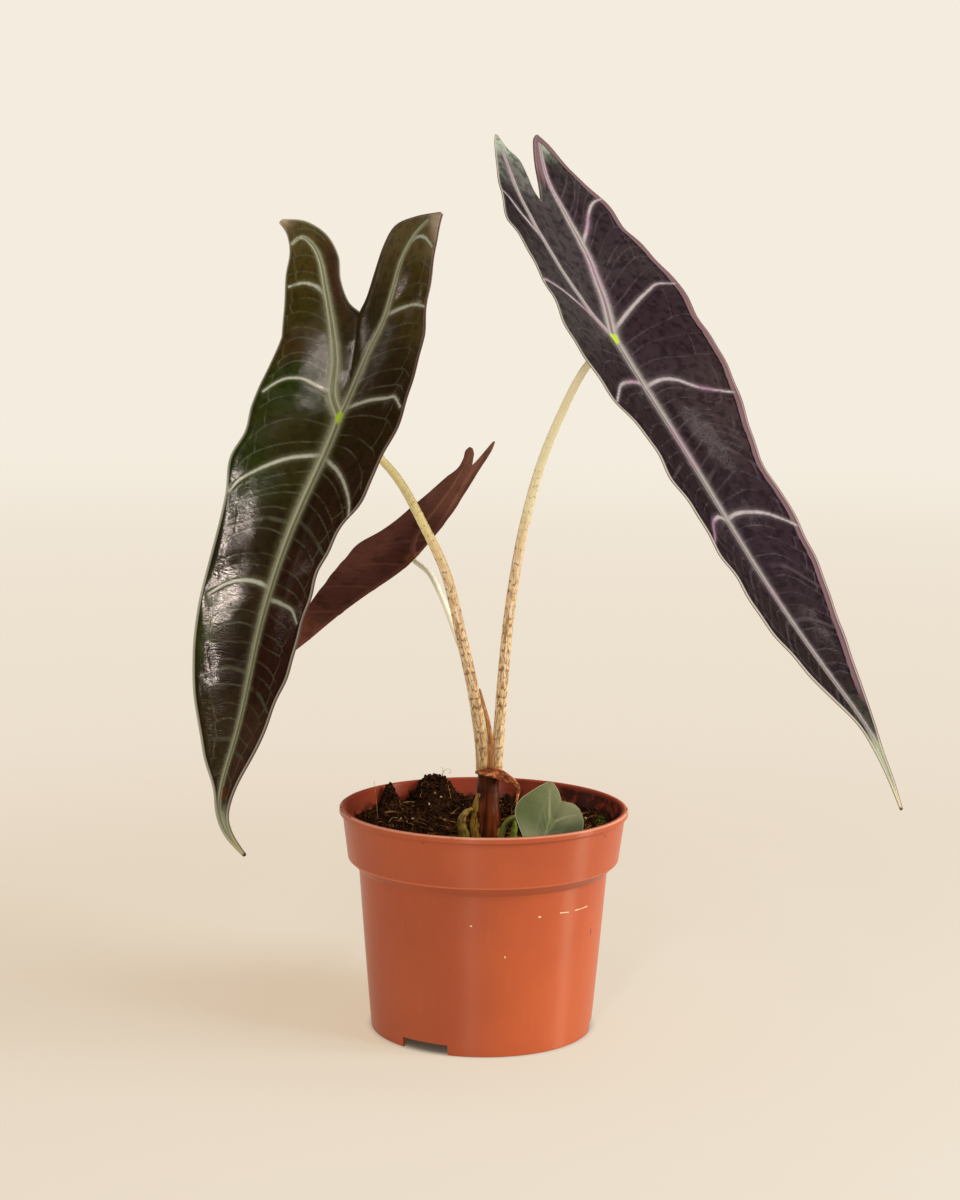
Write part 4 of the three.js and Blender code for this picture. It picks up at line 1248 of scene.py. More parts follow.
    def _tint(self, spots: Spots, flat: Array) -> Array:
        """Blend colours that are given at ways along and across over the blade's plane."""
        weights, total = np.zeros(len(flat)), np.zeros((len(flat), 4))
        for along, across, code in spots:
            apart = (flat[:, 0] - along) ** 2 * self.along_share + (flat[:, 1] - across) ** 2
            weight = 1 / (apart + self.blend_reach) ** self.blend_power
            weights += weight
            total += weight[:, None] * np.array(colour(code))
        return total / weights[:, None]

    def _form(self, piece: Piece) -> None:
        """Lay the flat wall on the curved surface and give both faces their relief."""
        flat = places_of(piece)
        upper = flat[:, 2] > 0
        count = len(flat) // 2
        points = flat[:count, :2]
        s, u = points.T
        ribs, laterals, threads = self._ribs(), self._laterals(), self._threads()
        rib = vein_distance(ribs, points, True)
        lateral = vein_distance(laterals, points, True)
        thread = vein_distance(threads, points, True)
        edge = vein_distance(self._outline(), points, False)
        between = vein_distance(ribs + laterals, points, False)

        plane = BladePlane(self.form)
        place, out = plane.point(s, u * self.drawn_in), plane.normal(s, u)
        inside = smooth(edge, 0.0, 3.0)
        raised = self.bulge * (1 - np.exp(-((between / 7.0) ** 2))) * inside
        sheet = np.stack([s, u, 0 * s], axis=-1)
        uneven = tremble(sheet * (1.0, 0.5, 0.0), 13.0, self.seed)
        raised = raised - self.camber * (np.abs(u) / 30.0) ** 2
        raised = raised + self.swell * uneven * inside * smooth(np.abs(u), 1.0, 8.0)
        wave = np.sin(s * 0.21 + np.abs(u) * 0.09) + 0.6 * np.sin(s * 0.36 + self.seed)
        wave = wave * smooth(np.abs(u), 6.0, 26.0) * smooth(edge, 14.0, 0.0)
        raised = raised + self.ripple * wave
        half = self.form.thickness / 2 * (0.5 + 0.5 * smooth(edge, 0.0, 1.4))
        groove = 0.22 * np.exp(-((rib / 0.3) ** 2)) - 0.08 * np.exp(-(((rib - 0.7) / 0.4) ** 2))
        groove = groove + 0.2 * np.exp(-((lateral / 0.9) ** 2)) + 0.03 * np.exp(-(thread**2))
        ridge = self.form.ridge * 1.35 * np.exp(-((rib / 0.75) ** 2))
        ridge = ridge * smooth(self.form.tip - s, 0.0, 60.0)
        ridge = ridge + 0.28 * np.exp(-((lateral / 1.1) ** 2)) + 0.07 * np.exp(-(thread**2))
        above, beneath = raised + half - groove * inside, raised - half - ridge * inside
        lift = np.where(upper, np.tile(above, 2), np.tile(beneath, 2))
        put_places(piece, np.tile(place, (2, 1)) + np.tile(out, (2, 1)) * lift[:, None])

        put_attribute(piece, "upper", upper)
        values = {
            "rib": rib,
            "lateral": lateral,
            "thread": thread,
            "edge": edge,
            "along": s,
            "across": u,
            "ground": self._tint(self.ground, points),
            "below": self._tint(self.below, points),
        }
        for name, column in values.items():
            put_attribute(piece, name, np.concatenate([column, column]))


def generic_laterals(reach: float, rows: Sequence[Pair], lean: float) -> tuple[Pairs, ...]:
    """Side veins that leave the midrib and hook towards the tip.

    Args:
        reach: how far across the widest one goes.
        rows: pairs of the way along the midrib and the share of the reach.
        lean: how far each vein gains on the way out, in millimetres.

    Returns:
        One row of pairs for each vein.
    """
    steps = ((0.04, 0.0), (0.3, 0.22), (0.6, 0.5), (0.82, 0.8), (0.97, 1.15))
    return tuple(
        tuple((s + lean * gain, reach * share * out) for out, gain in steps) for s, share in rows
    )


LEFT_FORM = BladeForm(
    path=(
        (-80, -50.5, -22, 330, -25, 20, 20),
        (0, -57.5, -50, 255.5, -25, 25, 25),
        (41, -71.5, -66, 221, -25, 25, 25),
        (91, -85.5, -82, 175.5, -25, 25, 25),
        (135, -94, -94, 134.5, -25, 22, 22),
        (163, -97.5, -101, 107.5, -25, 15, 15),
        (179, -88.5, -104, 95.5, -25, 10, 10),
    ),
    tip=179,
    sinus=-45,
    thickness=0.8,
    ridge=1.25,
    left=Half(
        margin=(
            (178.6, 0.8), (170, 1.4), (159, 1.8), (150, 3.6), (139, 11), (121, 19), (103, 23.2),
            (84, 25.3), (62, 26.5), (46, 28.8), (33, 33), (20, 32.2), (6, 34.2), (-12, 33.2),
            (-32, 29.7),
        ),
        lobe_outer=((-32, 29.7), (-46, 30.2), (-60, 30.4), (-70, 29.3), (-78, 31), (-83, 34.3)),
        lobe_inner=(
            (-45, 0), (-49, 4.6), (-58, 8.2), (-68, 9.5), (-77, 14.6), (-83, 23.4), (-84.4, 33)
        ),
        costa=(
            (0, 0), (-9, 5.6), (-24, 7.4), (-38, 10.4), (-52, 13.6), (-66, 16.8), (-73, 20.4),
            (-76.2, 24.6), (-73.5, 28.4),
        ),
        laterals=(
            ((-9, 5.8), (-11, 12.5), (-13, 18.1), (-12, 24.3), (-8, 28.3), (-2, 31.6)),
            ((17, 0.6), (21, 8.3), (25, 13.9), (32, 20.7), (39, 26.1), (44, 28.0)),
            ((73, 0.6), (72, 6.1), (73, 12.2), (76, 17.5), (81, 22.6)),
            ((-51, 13.6), (-55, 17.5), (-56.6, 23.1), (-55, 28.8)),
        ),
        faint=(
            ((107, 0.6), (106, 9.9), (112, 18.5)), ((132, 0.6), (134, 8)),
            ((47, 0.6), (49, 12), (57, 24)),
        ),
    ),
    right=Half(
        margin=(
            (178.6, 0.8), (170, 2.3), (157, 5.6), (144, 9.2), (131, 14.2), (117, 18.6), (105, 22.4),
            (84, 24.4), (67, 23.5), (56, 25.8), (44, 26.8), (33, 31.6), (17, 31.8), (-3, 36),
            (-18, 37.6), (-29, 39),
        ),
        lobe_outer=((-29, 39), (-43, 39.4), (-56, 40.2), (-66, 42), (-73.4, 44.4)),
        lobe_inner=(
            (-45, 0), (-50, 3.8), (-59, 7.8), (-69, 12.6), (-75.4, 19), (-76.2, 30), (-74.6, 43.2)
        ),
        costa=(
            (0, 0), (-14, 3.8), (-27, 9), (-38, 15.6), (-50, 19.8), (-60, 23.4), (-68, 29.4),
            (-72.5, 37),
        ),
        laterals=(
            ((-4, 2.4), (-6, 14.8), (-6, 24.3), (-6, 29.6), (-2, 34.0)),
            ((18, 0.6), (23, 10.6), (28, 17.5), (35, 24.4), (41, 27.2)),
            ((77, 0.6), (79, 10.6), (81, 16.4), (86, 21.5)),
            ((-40, 17.0), (-41, 25.1), (-41, 32.2), (-39, 38.4)),
            ((-58, 22.2), (-64.5, 26), (-67.5, 31.5), (-66, 36), (-62, 39.4)),
        ),
        faint=(
            ((112, 0.6), (115, 8.5), (121, 15.5)), ((136, 0.6), (138, 7)),
            ((45, 0.6), (50, 12), (58, 24)),
        ),
    ),
)

RIGHT_FORM = BladeForm(
    path=(
        (-92, 9.5, 2, 361.5, 48, 2, 6),
        (0, 48, -36, 287, 49, 18, 20),
        (55, 75, -57, 244, 49, 19, 21),
        (113, 103.5, -79, 198, 48, 19, 20),
        (160, 128.5, -98, 162.5, 47, 15, 18),
        (189, 143.5, -108, 140.5, 47, 14, 16),
        (214, 152, -116, 118.5, 47, 12, 13),
    ),
    tip=214,
    sinus=-67,
    thickness=0.8,
    ridge=1.3,
    left=Half(
        margin=(
            (213.6, 0.8), (204, 2.2), (191, 3.9), (179, 4.6), (166, 10), (150, 17.6), (132, 24.4),
            (112, 28.4), (90, 29.3), (72, 32), (50, 32.4), (33, 40.6), (16, 45.6), (-6, 42.6),
            (-26, 37.6), (-50, 36),
        ),
        lobe_outer=((-50, 36), (-62, 30.6), (-72, 24.4), (-84, 17.8), (-93, 12.6), (-98.6, 8.8)),
        lobe_inner=((-67, 0), (-72, 1.4), (-79, 0.7), (-87, 1), (-91.5, 5.4), (-97.6, 7.4)),
        costa=((0, 0), (-9, 9.4), (-24, 14.9), (-45, 16.8), (-62, 16.4), (-78, 13.1), (-92, 9.6)),
        laterals=(
            ((-45, 16.8), (-52, 21), (-60, 25), (-66, 27.5)),
            ((-7, 7.4), (-13, 18.5), (-18, 28.2), (-21, 35.3), (-20, 38.5)),
            ((22, 0.6), (23, 12.3), (27, 26.9), (35, 38)),
            ((86, 0.6), (85, 6.3), (87, 14), (90, 19.7), (98, 28)),
        ),
        faint=(
            ((60, 0.6), (62, 14), (69, 30)), ((108, 0.6), (111, 11.5), (120, 20), (127, 25)),
            ((132, 0.6), (134, 7.6), (140, 14), (146, 18.5)), ((163, 0.6), (165, 5), (169, 8.2)),
        ),
    ),
    right=Half(
        margin=(
            (213.6, 0.8), (204, 1.4), (191, 2.2), (177, 6), (160, 12), (140, 19.3), (122, 25.2),
            (104, 29), (90, 30.5), (74, 29.8), (56, 33.2), (36, 40), (14, 43.2), (-4, 44.2),
            (-20, 46.2), (-34, 42.8), (-52, 37.8),
        ),
        lobe_outer=(
            (-52, 37.8), (-66, 35.6), (-78, 29.6), (-90, 23.7), (-98, 20.4), (-101.8, 18.4)
        ),
        lobe_inner=((-67, 0), (-74, 2.8), (-84, 6.3), (-92, 9.9), (-98.4, 13.6), (-101.4, 16.8)),
        costa=((0, 0), (-16, 5.2), (-27, 7.2), (-40, 9.3), (-58, 9.3), (-78, 9.4), (-96, 15.4)),
        laterals=(
            ((-44, 9.4), (-53, 17), (-61, 22.7), (-66, 28.2), (-68, 34)),
            ((-3, 1.4), (-13, 18.5), (-18, 28.2), (-21, 35.3), (-20, 44)),
            ((24, 0.6), (23, 8.2), (25, 15.4), (32, 24.3), (38, 37)),
            ((86, 0.6), (85, 6.3), (87, 14), (90, 19.7), (98, 28.5)),
        ),
        faint=(
            ((70, 0.6), (64, 9.4), (59, 14.5), (59, 18.1), (62, 20.6), (70, 27)),
            ((108, 0.6), (111, 11.5), (120, 18), (127, 22.5)),
            ((132, 0.6), (134, 7.6), (138, 12.2), (144, 17)), ((163, 0.6), (165, 5.5), (169, 8.4)),
        ),
    ),
)

BACK_FORM = BladeForm(
    path=(
        (-66, -3.5, 16, 239.5, -140, 16, 24),
        (0, -32, 50, 191.5, -140, 36, 24),
        (36, -50.5, 75, 175, -140, 32, 24),
        (78, -74.5, 103, 154, -140, 27, 22),
        (121, -100, 128, 129.5, -140, 24, 20),
    ),
    tip=121,
    sinus=-58,
    thickness=0.8,
    ridge=0.9,
    left=Half(
        margin=(
            (120.6, 0.8), (113, 2.6), (98, 8.4), (80, 13), (60, 17.4), (38, 22), (20, 24.4),
            (4, 24.8), (-8, 21), (-19, 16), (-27, 12.4), (-38, 9.6), (-50, 9),
        ),
        lobe_outer=((-50, 9), (-58, 9.8), (-64, 9.6), (-69.4, 7.8)),
        lobe_inner=((-58, 0), (-61, 2.6), (-65, 4.6), (-69.2, 6.4)),
        costa=((0, 0), (-12, 5), (-28, 6.2), (-46, 5.4), (-62, 6.2)),
        laterals=generic_laterals(24, ((-14, 0.7), (6, 1.0), (34, 0.9), (62, 0.66), (88, 0.4)), 13),
    ),
    right=Half(
        margin=(
            (120.6, 0.8), (113, 2.4), (98, 6.6), (82, 10.6), (66, 14), (52, 17.2), (38, 20.8),
            (22, 24.4), (8, 26.6), (-2, 24.6), (-14, 20), (-28, 15.4), (-42, 10.6), (-50, 7.6),
        ),
        lobe_outer=((-50, 7.6), (-55, 5.2), (-60, 5), (-64, 5.8), (-66.4, 5)),
        lobe_inner=((-58, 0), (-61, 0.9), (-64, 1.8), (-66.2, 3.4)),
        costa=((0, 0), (-12, 5.6), (-28, 6.4), (-46, 4.6), (-62, 3.6)),
        laterals=generic_laterals(
            24, ((-14, 0.8), (8, 1.0), (36, 0.85), (64, 0.6), (90, 0.36)), 13
        ),
    ),
)

YOUNG_FORM = BladeForm(
    path=(
        (-16, 34, -33, 108, 5, 8, 8),
        (0, 26.5, -35, 93.5, 5, 12, 12),
        (8, 23.5, -38, 86.5, 5, 12, 12),
        (16, 21, -41.5, 79.5, 5, 8, 8),
    ),
    tip=14.5,
    sinus=-10,
    thickness=0.7,
    ridge=0.5,
    left=Half(
        margin=((14.3, 0.7), (12, 5), (8.6, 9.4), (6, 12.5), (3, 15.6), (-1, 16.8), (-5, 15.6)),
        lobe_outer=((-5, 15.6), (-9, 13), (-12, 11), (-14.2, 9.2)),
        lobe_inner=((-10, 0), (-11.4, 1.4), (-13.4, 3.8), (-15, 7)),
        costa=((0, 0), (-4, 2.4), (-8, 4.6), (-12, 6.8)),
    ),
    right=Half(
        margin=((14.3, 0.7), (12.4, 4), (9, 8), (5, 11), (0, 12.8), (-4, 12.9)),
        lobe_outer=((-4, 12.9), (-7, 11.8), (-9.4, 9.8)),
        lobe_inner=((-10, 0), (-10.8, 2.2), (-11.4, 5), (-10.8, 7.8)),
        costa=((0, 0), (-3, 2.4), (-6, 5), (-8, 7.6)),
    ),
)


def blades() -> list[Blade]:
    """The four leaf blades, each with its colours."""
    left = Blade(
        name="leaf_left",
        node="blade_left",
        slot="left_blade_skin",
        form=LEFT_FORM,
        finish=BladeSkin(
            "left_blade", tip=179, mottle=0.45, marks=(((150, 1.8), (153, 2.2), 1.3),),
            waxy=(
                ((48, -26), (82, -21), 13.0), ((-28, -14), (-5, -12), 9.0),
                ((-34, 5), (-18, 2), 8.0), ((-49, 24), (-47, 38), 6.0),
                ((100, -17), (112, -15), 3.5),
            ),
        ),
        ground=(
            (60, -10, "261e0d"), (34, -24, "252d0d"), (20, -12, "2c280e"), (-14, -22, "242f0b"),
            (-44, -24, "373010"), (-27, -25, "3a2c13"), (-62, -22, "3d3411"), (-85, -35, "ab987f"),
            (-77, -28, "453b18"), (-62, -9, "3a2717"), (-75, 45, "ab9b84"), (-68, 33, "54492a"),
            (-5, 20, "2a1e0d"), (-30, 10, "2c250d"), (-50, 30, "3e320f"), (-77, 47, "a3927c"),
            (40, 15, "2c1c0f"), (100, 12, "301b13"), (100, -12, "261b10"), (95, -22, "333718"),
            (140, 5, "402c20"), (140, -5, "332a19"), (72, 8, "331f15"),
        ),
        below=((0, 0, "4b2a2c"), (0, 34, "5c3734"), (120, 0, "4a2b2a"), (-70, -30, "6d4c40")),
        swell=0.14,
        camber=1.2,
        seed=3,
    )
    right = Blade(
        name="leaf_right",
        node="blade_right",
        slot="right_blade_skin",
        form=RIGHT_FORM,
        finish=BladeSkin(
            "right_blade", tip=214, core="9b9893", halo="615a5d", centre="65525b", lateral="a8a0a2",
            thread="5c5158", margin="a69c98", rim="4f3036", pale_start=34, blush="86547c",
            blush_amount=0.75, mottle=0.75, strip_width=3.4, specular=0.4, thread_amount=0.35,
            waxy=(
                ((42, 12), (64, 15), 6.0), ((132, 8), (158, 6), 6.0), ((-24, 5), (-14, 9), 4.0),
                ((84, 14), (92, 12), 4.0),
            ),
        ),
        ground=(
            (0, 20, "2b2025"), (60, -15, "241b1d"), (100, 15, "2a1f25"), (-60, 22, "2d2327"),
            (-60, -20, "241d1e"), (-80, 16, "2e2729"), (-80, -10, "5a5a56"), (40, 34, "33282a"),
            (-55, -6, "3b3538"), (-100, 17, "84907f"), (-97, -8, "8f9c8f"), (150, 8, "271d20"),
            (185, 3, "35352a"), (160, -8, "231d1b"),
        ),
        below=((0, 0, "4a2a30"), (0, -40, "5f3b35"), (120, 0, "4d2d2c"), (-90, 18, "6d4a42")),
        rib_widths=(2.1, 0.8),
        costa_widths=(2.2, 0.7),
        swell=0.16,
        camber=0.8,
        seed=5,
    )
    back = Blade(
        name="leaf_back",
        node="blade_back",
        slot="back_blade_skin",
        form=BACK_FORM,
        finish=BladeSkin(
            "back_blade", tip=121, pale_start=10, under_core="84574a", under_veins=0.35,
            tip_pale="7a5240", tip_end="67402f", edge_scale=1.4,
        ),
        ground=((0, 10, "232a14"), (60, -8, "211c15"), (-50, 5, "38341f")),
        below=(
            (0, 0, "492c27"), (0, 24, "643f38"), (0, -24, "623e36"), (60, 0, "4e302a"),
            (95, 0, "6c4336"), (-60, 4, "765044"),
        ),
        fineness=Fineness(220, 30, 44),
        rib_widths=(1.5, 0.6),
        costa_widths=(1.5, 0.7),
        bulge=0.5,
        seed=7,
    )
    young = Blade(
        name="leaf_young",
        node="blade_young",
        slot="young_blade_skin",
        form=YOUNG_FORM,
        finish=BladeSkin(
            "young_blade", tip=14.5, core="a0a381", halo="848b66", centre="8a8f6a",
            lateral="9fa381", thread="8f9676", margin="a9ac8c", rim="8f9474", pale_start=1.5,
            tip_pale="8a906a", tip_end="8f9672", knot="7c865c", mottle=0.08, roughness=0.4,
            under_core="97a680", thread_amount=0.25, left_rim="aeb193", edge_scale=2.6,
        ),
        ground=(
            (0, -10, "5c6942"), (3, 0, "4e5a3c"), (0, 9, "46533a"), (11, 0, "4f5c3c"),
            (-12, -4, "828966"), (-8, 5, "939873"), (-4, -5, "707a56"),
        ),
        below=((0, 0, "66825f"), (10, 0, "5f7c5c")),
        fineness=Fineness(80, 26, 40),
        rib_widths=(0.5, 0.25),
        costa_widths=(0.5, 0.25),
        thread_step=2.2,
        bulge=0.1,
        ripple=0.12,
        swell=0.3,
        seed=9,
    )
    return [left, right, back, young]


# Stalks


@dataclass
class Stalk(Part):
    """A petiole: a long tapering tube from the neck to the knuckle of its blade."""

    name: str
    node: str
    slot: str
    points: Points
    radii: Triple
    finish: StalkSkin
    blade: BladeForm
    rows: int = 320
    sides: int = 26
    clearance: float = 0.3
    knuckle_share: float = 1.4

    def build(self) -> Piece:
        """Model the stalk, from its foot to just under the blade's knuckle."""
        plane = BladePlane(self.blade)
        middle, up, _, _ = plane.frame(np.array(0.0))
        line = middle - np.array(self.points[-1])
        square = float((line / np.linalg.norm(line)) @ up)
        knuckle = self.blade.ridge * self.knuckle_share + self.blade.thickness / 4
        depth = knuckle + self.clearance + self.radii[2] * math.sqrt(1 - square * square)
        curve = EvenCurve([*self.points, tuple(middle - up * depth)], centripetal=True)
        radius = three_radii(self.radii)
        return tube_piece(self.name, curve, radius, self.rows, self.sides, self._relief)

    @staticmethod
    def _relief(way: Array, turn: Array) -> Array:
        """Faint ribs and knots along the skin."""
        ribs = 0.035 * np.cos(7 * turn + way * 0.02) + 0.03 * np.cos(3 * turn - way * 0.05)
        return ribs + 0.03 * np.sin(way * 0.9 + 2 * np.sin(way * 0.23)) * np.cos(turn + way * 0.11)


def stalks() -> list[Stalk]:
    """The four petioles."""
    left = Stalk(
        name="stalk_left",
        node="petiole_left",
        slot="petiole_skin",
        points=(
            (-0.7, 0, 107.6), (-1.3, -0.7, 118), (-4.7, -3.7, 140.6), (-9.8, -8.2, 163.7),
            (-16.6, -14.1, 191.4), (-25.5, -21.9, 211.6), (-36.5, -31.6, 232),
        ),
        radii=(2.65, 2.1, 1.45),
        finish=StalkSkin("stalk_left", high="f6e9a8", turn_start=78, turn_end=122, ring_fade=115),
        blade=LEFT_FORM,
    )
    right = Stalk(
        name="stalk_right",
        node="petiole_right",
        slot="petiole_skin",
        points=(
            (5.1, -0.2, 107.5), (5.6, -0.4, 118), (7.5, -2.1, 151.8), (9.8, -4.1, 177.8),
            (14.4, -7.9, 208.3), (20.8, -13.2, 235), (28.3, -19.5, 255.7), (37.5, -27.4, 275),
        ),
        radii=(2.4, 2.05, 1.5),
        finish=StalkSkin("stalk_right", base="d9b878", turn_start=84, turn_end=124, ring_fade=118),
        blade=RIGHT_FORM,
        rows=380,
    )
    back = Stalk(
        name="stalk_back",
        node="petiole_back",
        slot="back_petiole_skin",
        points=(
            (2.3, 3.9, 107.6), (1.4, 5.2, 118), (-4.6, 12.6, 141), (-12.7, 23.4, 161.7),
            (-18.6, 31.7, 175.4), (-24.4, 39.6, 185.3),
        ),
        radii=(1.5, 1.35, 1.15),
        finish=StalkSkin(
            "stalk_back", foot="efdba8", low="fff6dc", high="fffce6", base="c9b06c", ring="b08a50",
            mottle="d8bf8a", turn_start=30, turn_end=60, ring_fade=40, amount=0.6,
        ),
        blade=BACK_FORM,
        rows=240,
        sides=20,
    )
    young = Stalk(
        name="stalk_young",
        node="petiole_young",
        slot="young_petiole_skin",
        points=(
            (7.2, -6.4, 74), (7.2, -6.6, 81), (9.2, -8.8, 87.6), (13.8, -15.6, 91.8),
            (19.6, -24.2, 93),
        ),
        radii=(1.3, 1.1, 0.8),
        finish=StalkSkin(
            "stalk_young", foot="7c7c30", low="86893a", high="97a052", base="6f6e28", ring="5a5226",
            mottle="6b5c2a", cream="a5a860", turn_start=4, turn_end=20, ring_fade=10, amount=0.4,
        ),
        blade=YOUNG_FORM,
        rows=110,
        sides=20,
    )
    return [left, right, back, young]


# Neck, sheath, bract and shoot


@dataclass
class Neck(Part):
    """Neck and corm with six roots in the peat."""

    node: str = "stem_neck"
    slot: str = "neck_skin"
    stations: Points = (
        (46, 0.6, 3.0), (49, 0.6, 7.2), (56, 0.6, 9.6), (64, 0.7, 9.2), (71, 0.8, 7.2),
        (79, 1.0, 6.0), (86, 1.3, 5.4), (92, 1.6, 4.8), (99, 1.7, 4.3), (103, 1.8, 4.5),
        (107, 2.2, 5.0),
    )
    root_count: int = 6
    root_reach: float = 33.0
    rows: int = 150
    sides: int = 72
    finish: NeckSkin = NeckSkin()

    def build(self) -> Piece:
        """Model the neck and its roots as one piece."""
        z, x, radius = np.array(self.stations, float).T
        curve = EvenCurve(np.stack([x, 0 * x, z], axis=-1), centripetal=True)
        height = NaturalCubic((0, 1), np.array([z[0], z[-1]]))

        def reach(share: Array) -> Array:
            """Radius at shares of the neck's length."""
            return np.interp(height(share)[:, 0], z, radius)

        neck = tube_piece("neck", curve, reach, self.rows, self.sides, self._folds)
        return join("neck", [neck, *(self._root(i) for i in range(self.root_count))])

    def _root(self, i: int) -> Piece:
        """Model one root from the corm down to the side."""
        angle = 2 * math.pi * (i + 0.3) / self.root_count
        reach = self.root_reach * (1.0 if i % 2 == 0 else 0.7)
        shares = ((0.1, 52.0), (0.45, 46.0), (0.8, 34.0), (1.0, 17.0 + 3 * i))
        points = [(reach * f * math.cos(angle), reach * f * math.sin(angle), z) for f, z in shares]
        curve = EvenCurve(points, centripetal=True)
        return tube_piece(f"root_{i}", curve, lambda share: 1.7 - 1.2 * share, 40, 10)

    @staticmethod
    def _folds(way: Array, turn: Array) -> Array:
        """Overlapping leaf bases: long folds that wind slowly up the neck."""
        high = smooth(way, 30.0, 40.0) * smooth(way, 61.0, 57.0)
        wind = turn + way * 0.018
        step = 0.32 * (np.mod(wind * 2 / math.pi, 2.0) - 1.0)
        step = step * smooth(np.abs(np.sin(wind)), 0.0, 0.3)
        low = smooth(way, 57.0, 46.0)
        husks = 2.6 * np.exp(3 * (np.cos(turn - 0.15) - 1))
        husks = husks + 0.8 * np.exp(-(((turn - 2.8) / 0.5) ** 2))
        fine = 0.16 * np.cos(5 * turn + way * 0.08) + 0.1 * np.sin(way * 0.7 + turn)
        return high * (step + 0.7 * low * husks + fine)


@dataclass
class DrySheath(Part):
    """Pointed dry sheath that stands in front of the left petiole."""

    node: str = "dry_sheath"
    slot: str = "dry_skin"
    points: Points = (
        (2.3, -3.5, 107.35), (2.7, -3.9, 116.5), (2.3, -4.3, 123), (1, -4.9, 130),
        (-0.6, -5.9, 136.5), (-2.4, -7.2, 143.4),
    )
    width: float = 3.0
    thickness: float = 0.9
    length: float = 36.0
    finish: DrySkin = DrySkin("sheath_skin", light="bf8450", dark="8f5a30", pale="d8a872")

    def build(self) -> Piece:
        """Model the sheath as a flat tube with a hollow front."""
        rows, sides = 120, 28
        share = np.linspace(0, 1, rows)
        middle = EvenCurve(self.points, centripetal=True).at(share)
        angle = full_turn(sides)
        half = (self.width * np.sqrt(1 - 0.93 * share) * 0.5)[:, None]
        depth = (self.thickness * (1 - 0.3 * share) / 2)[:, None]
        x = half * np.cos(angle)
        y = depth * np.sin(angle) * (1 - 0.45 * (np.sin(angle) < 0) * np.cos(angle) ** 2)
        places = middle[:, None] + np.stack([x, y, 0 * x], axis=-1)
        piece = grid_piece("dry_sheath_fine", places)
        way = np.broadcast_to(share[:, None] * self.length, x.shape)
        flow = np.stack([way, x * 2, y * 2], axis=-1)
        put_attribute(piece, "flow", flow.reshape(-1, 3))
        rough = 0.09 * tremble(places, 1.6, 4.0)[:, None] * (0.6, 1.0, 0.0)
        put_places(piece, places.reshape(-1, 3) + rough)
        weld(piece, close=True)
        shade(piece, 80)
        return piece


@dataclass
class Bract(Part):
    """Withered bract: a wrinkled ribbon round the front of the neck, with a strip that hangs."""

    node: str = "withered_bract"
    slot: str = "dry_skin"
    stations: Points = (
        (-3.5, -1.7, 107.4, 1.2), (-1.6, -4.5, 108, 2.4), (1.8, -5.9, 108.4, 4.2),
        (5.4, -5, 107.6, 4.6), (8.4, -4.5, 106.2, 4), (11.4, -4.6, 104.6, 2.8),
        (13.8, -5, 102.6, 1.8), (14.2, -5.4, 99.6, 1.4), (13.2, -5.8, 95.6, 1.1),
    )
    thickness: float = 0.7
    length: float = 42.0
    finish: DrySkin = DrySkin()

    def build(self) -> Piece:
        """Model the ribbon as a flat tube with folds."""
        rows, sides = 200, 44
        stations = np.array(self.stations, float)
        knots = np.linspace(0, 1, len(stations))
        share = np.linspace(0, 1, rows)
        ribbon = NaturalCubic(knots, stations)(share)
        middle, height = ribbon[:, :3], ribbon[:, 3]
        along = np.gradient(middle, axis=0)
        along /= np.linalg.norm(along, axis=1, keepdims=True)
        out = np.stack([along[:, 1] + 0.25, -along[:, 0] - 0.45, 0 * share], axis=-1)
        out -= along * (out * along).sum(1, keepdims=True)
        out /= np.linalg.norm(out, axis=1, keepdims=True)
        up = np.cross(out, along)
        angle = full_turn(sides)
        rise = np.sign(np.sin(angle)) * np.abs(np.sin(angle)) ** 0.7 * height[:, None] / 2
        depth = np.cos(angle) * self.thickness / 2 + 0 * rise
        way = np.broadcast_to(share[:, None] * self.length, rise.shape)
        crease = np.stack([way, rise * 1.6, 0 * rise], axis=-1)
        fold = 0.55 * tremble(crease, 2.6, 6.0).reshape(rise.shape)
        fold = fold * smooth(height, 1.4, 3.2)[:, None]
        places = middle[:, None] + out[:, None] * (depth + fold)[..., None]
        places = places + up[:, None] * rise[..., None]
        piece = grid_piece("bract", places)
        flow = np.stack([way, rise * 1.3, depth], axis=-1)
        put_attribute(piece, "flow", flow.reshape(-1, 3))
        rough = 0.16 * tremble(places * (1.0, 1.0, 2.2), 1.3, 2.0)[:, None]
        rough = rough * np.repeat(out, sides + 1, axis=0)
        put_places(piece, places.reshape(-1, 3) + rough)
        weld(piece, close=True)
        shade(piece, 80)
        return piece


@dataclass
class Shoot(Part):
    """Short curved side shoot, or the lime-coloured scale beside the young petiole."""

    name: str = "shoot"
    node: str | None = "shoot_left"
    slot: str = "shoot_skin"
    points: Points = (
        (-7.4, -4.2, 74.5), (-7.9, -4.2, 81), (-9.2, -4.2, 85.4), (-8.6, -4.2, 89.4),
        (-6.6, -4.2, 91.6), (-4.8, -4.4, 92.6),
    )
    radii: Triple = (2.2, 2.0, 0.7)
    rows: int = 90
    sides: int = 28
    finish: PlainSkin = PlainSkin(
        "shoot", start="75641c", end="a08440", blotch="42230c", turn=(9.0, 19.0), amount=0.75
    )

    def build(self) -> Piece:
        """Model the shoot."""
        curve, radius = EvenCurve(self.points, centripetal=True), three_radii(self.radii)
        return tube_piece(self.name, curve, radius, self.rows, self.sides, self._relief)

    @staticmethod
    def _relief(way: Array, turn: Array) -> Array:
        """Dents and faint ridges along the skin."""
        return 0.09 * np.sin(way * 1.9 + 2 * np.sin(turn)) + 0.06 * np.cos(4 * turn)


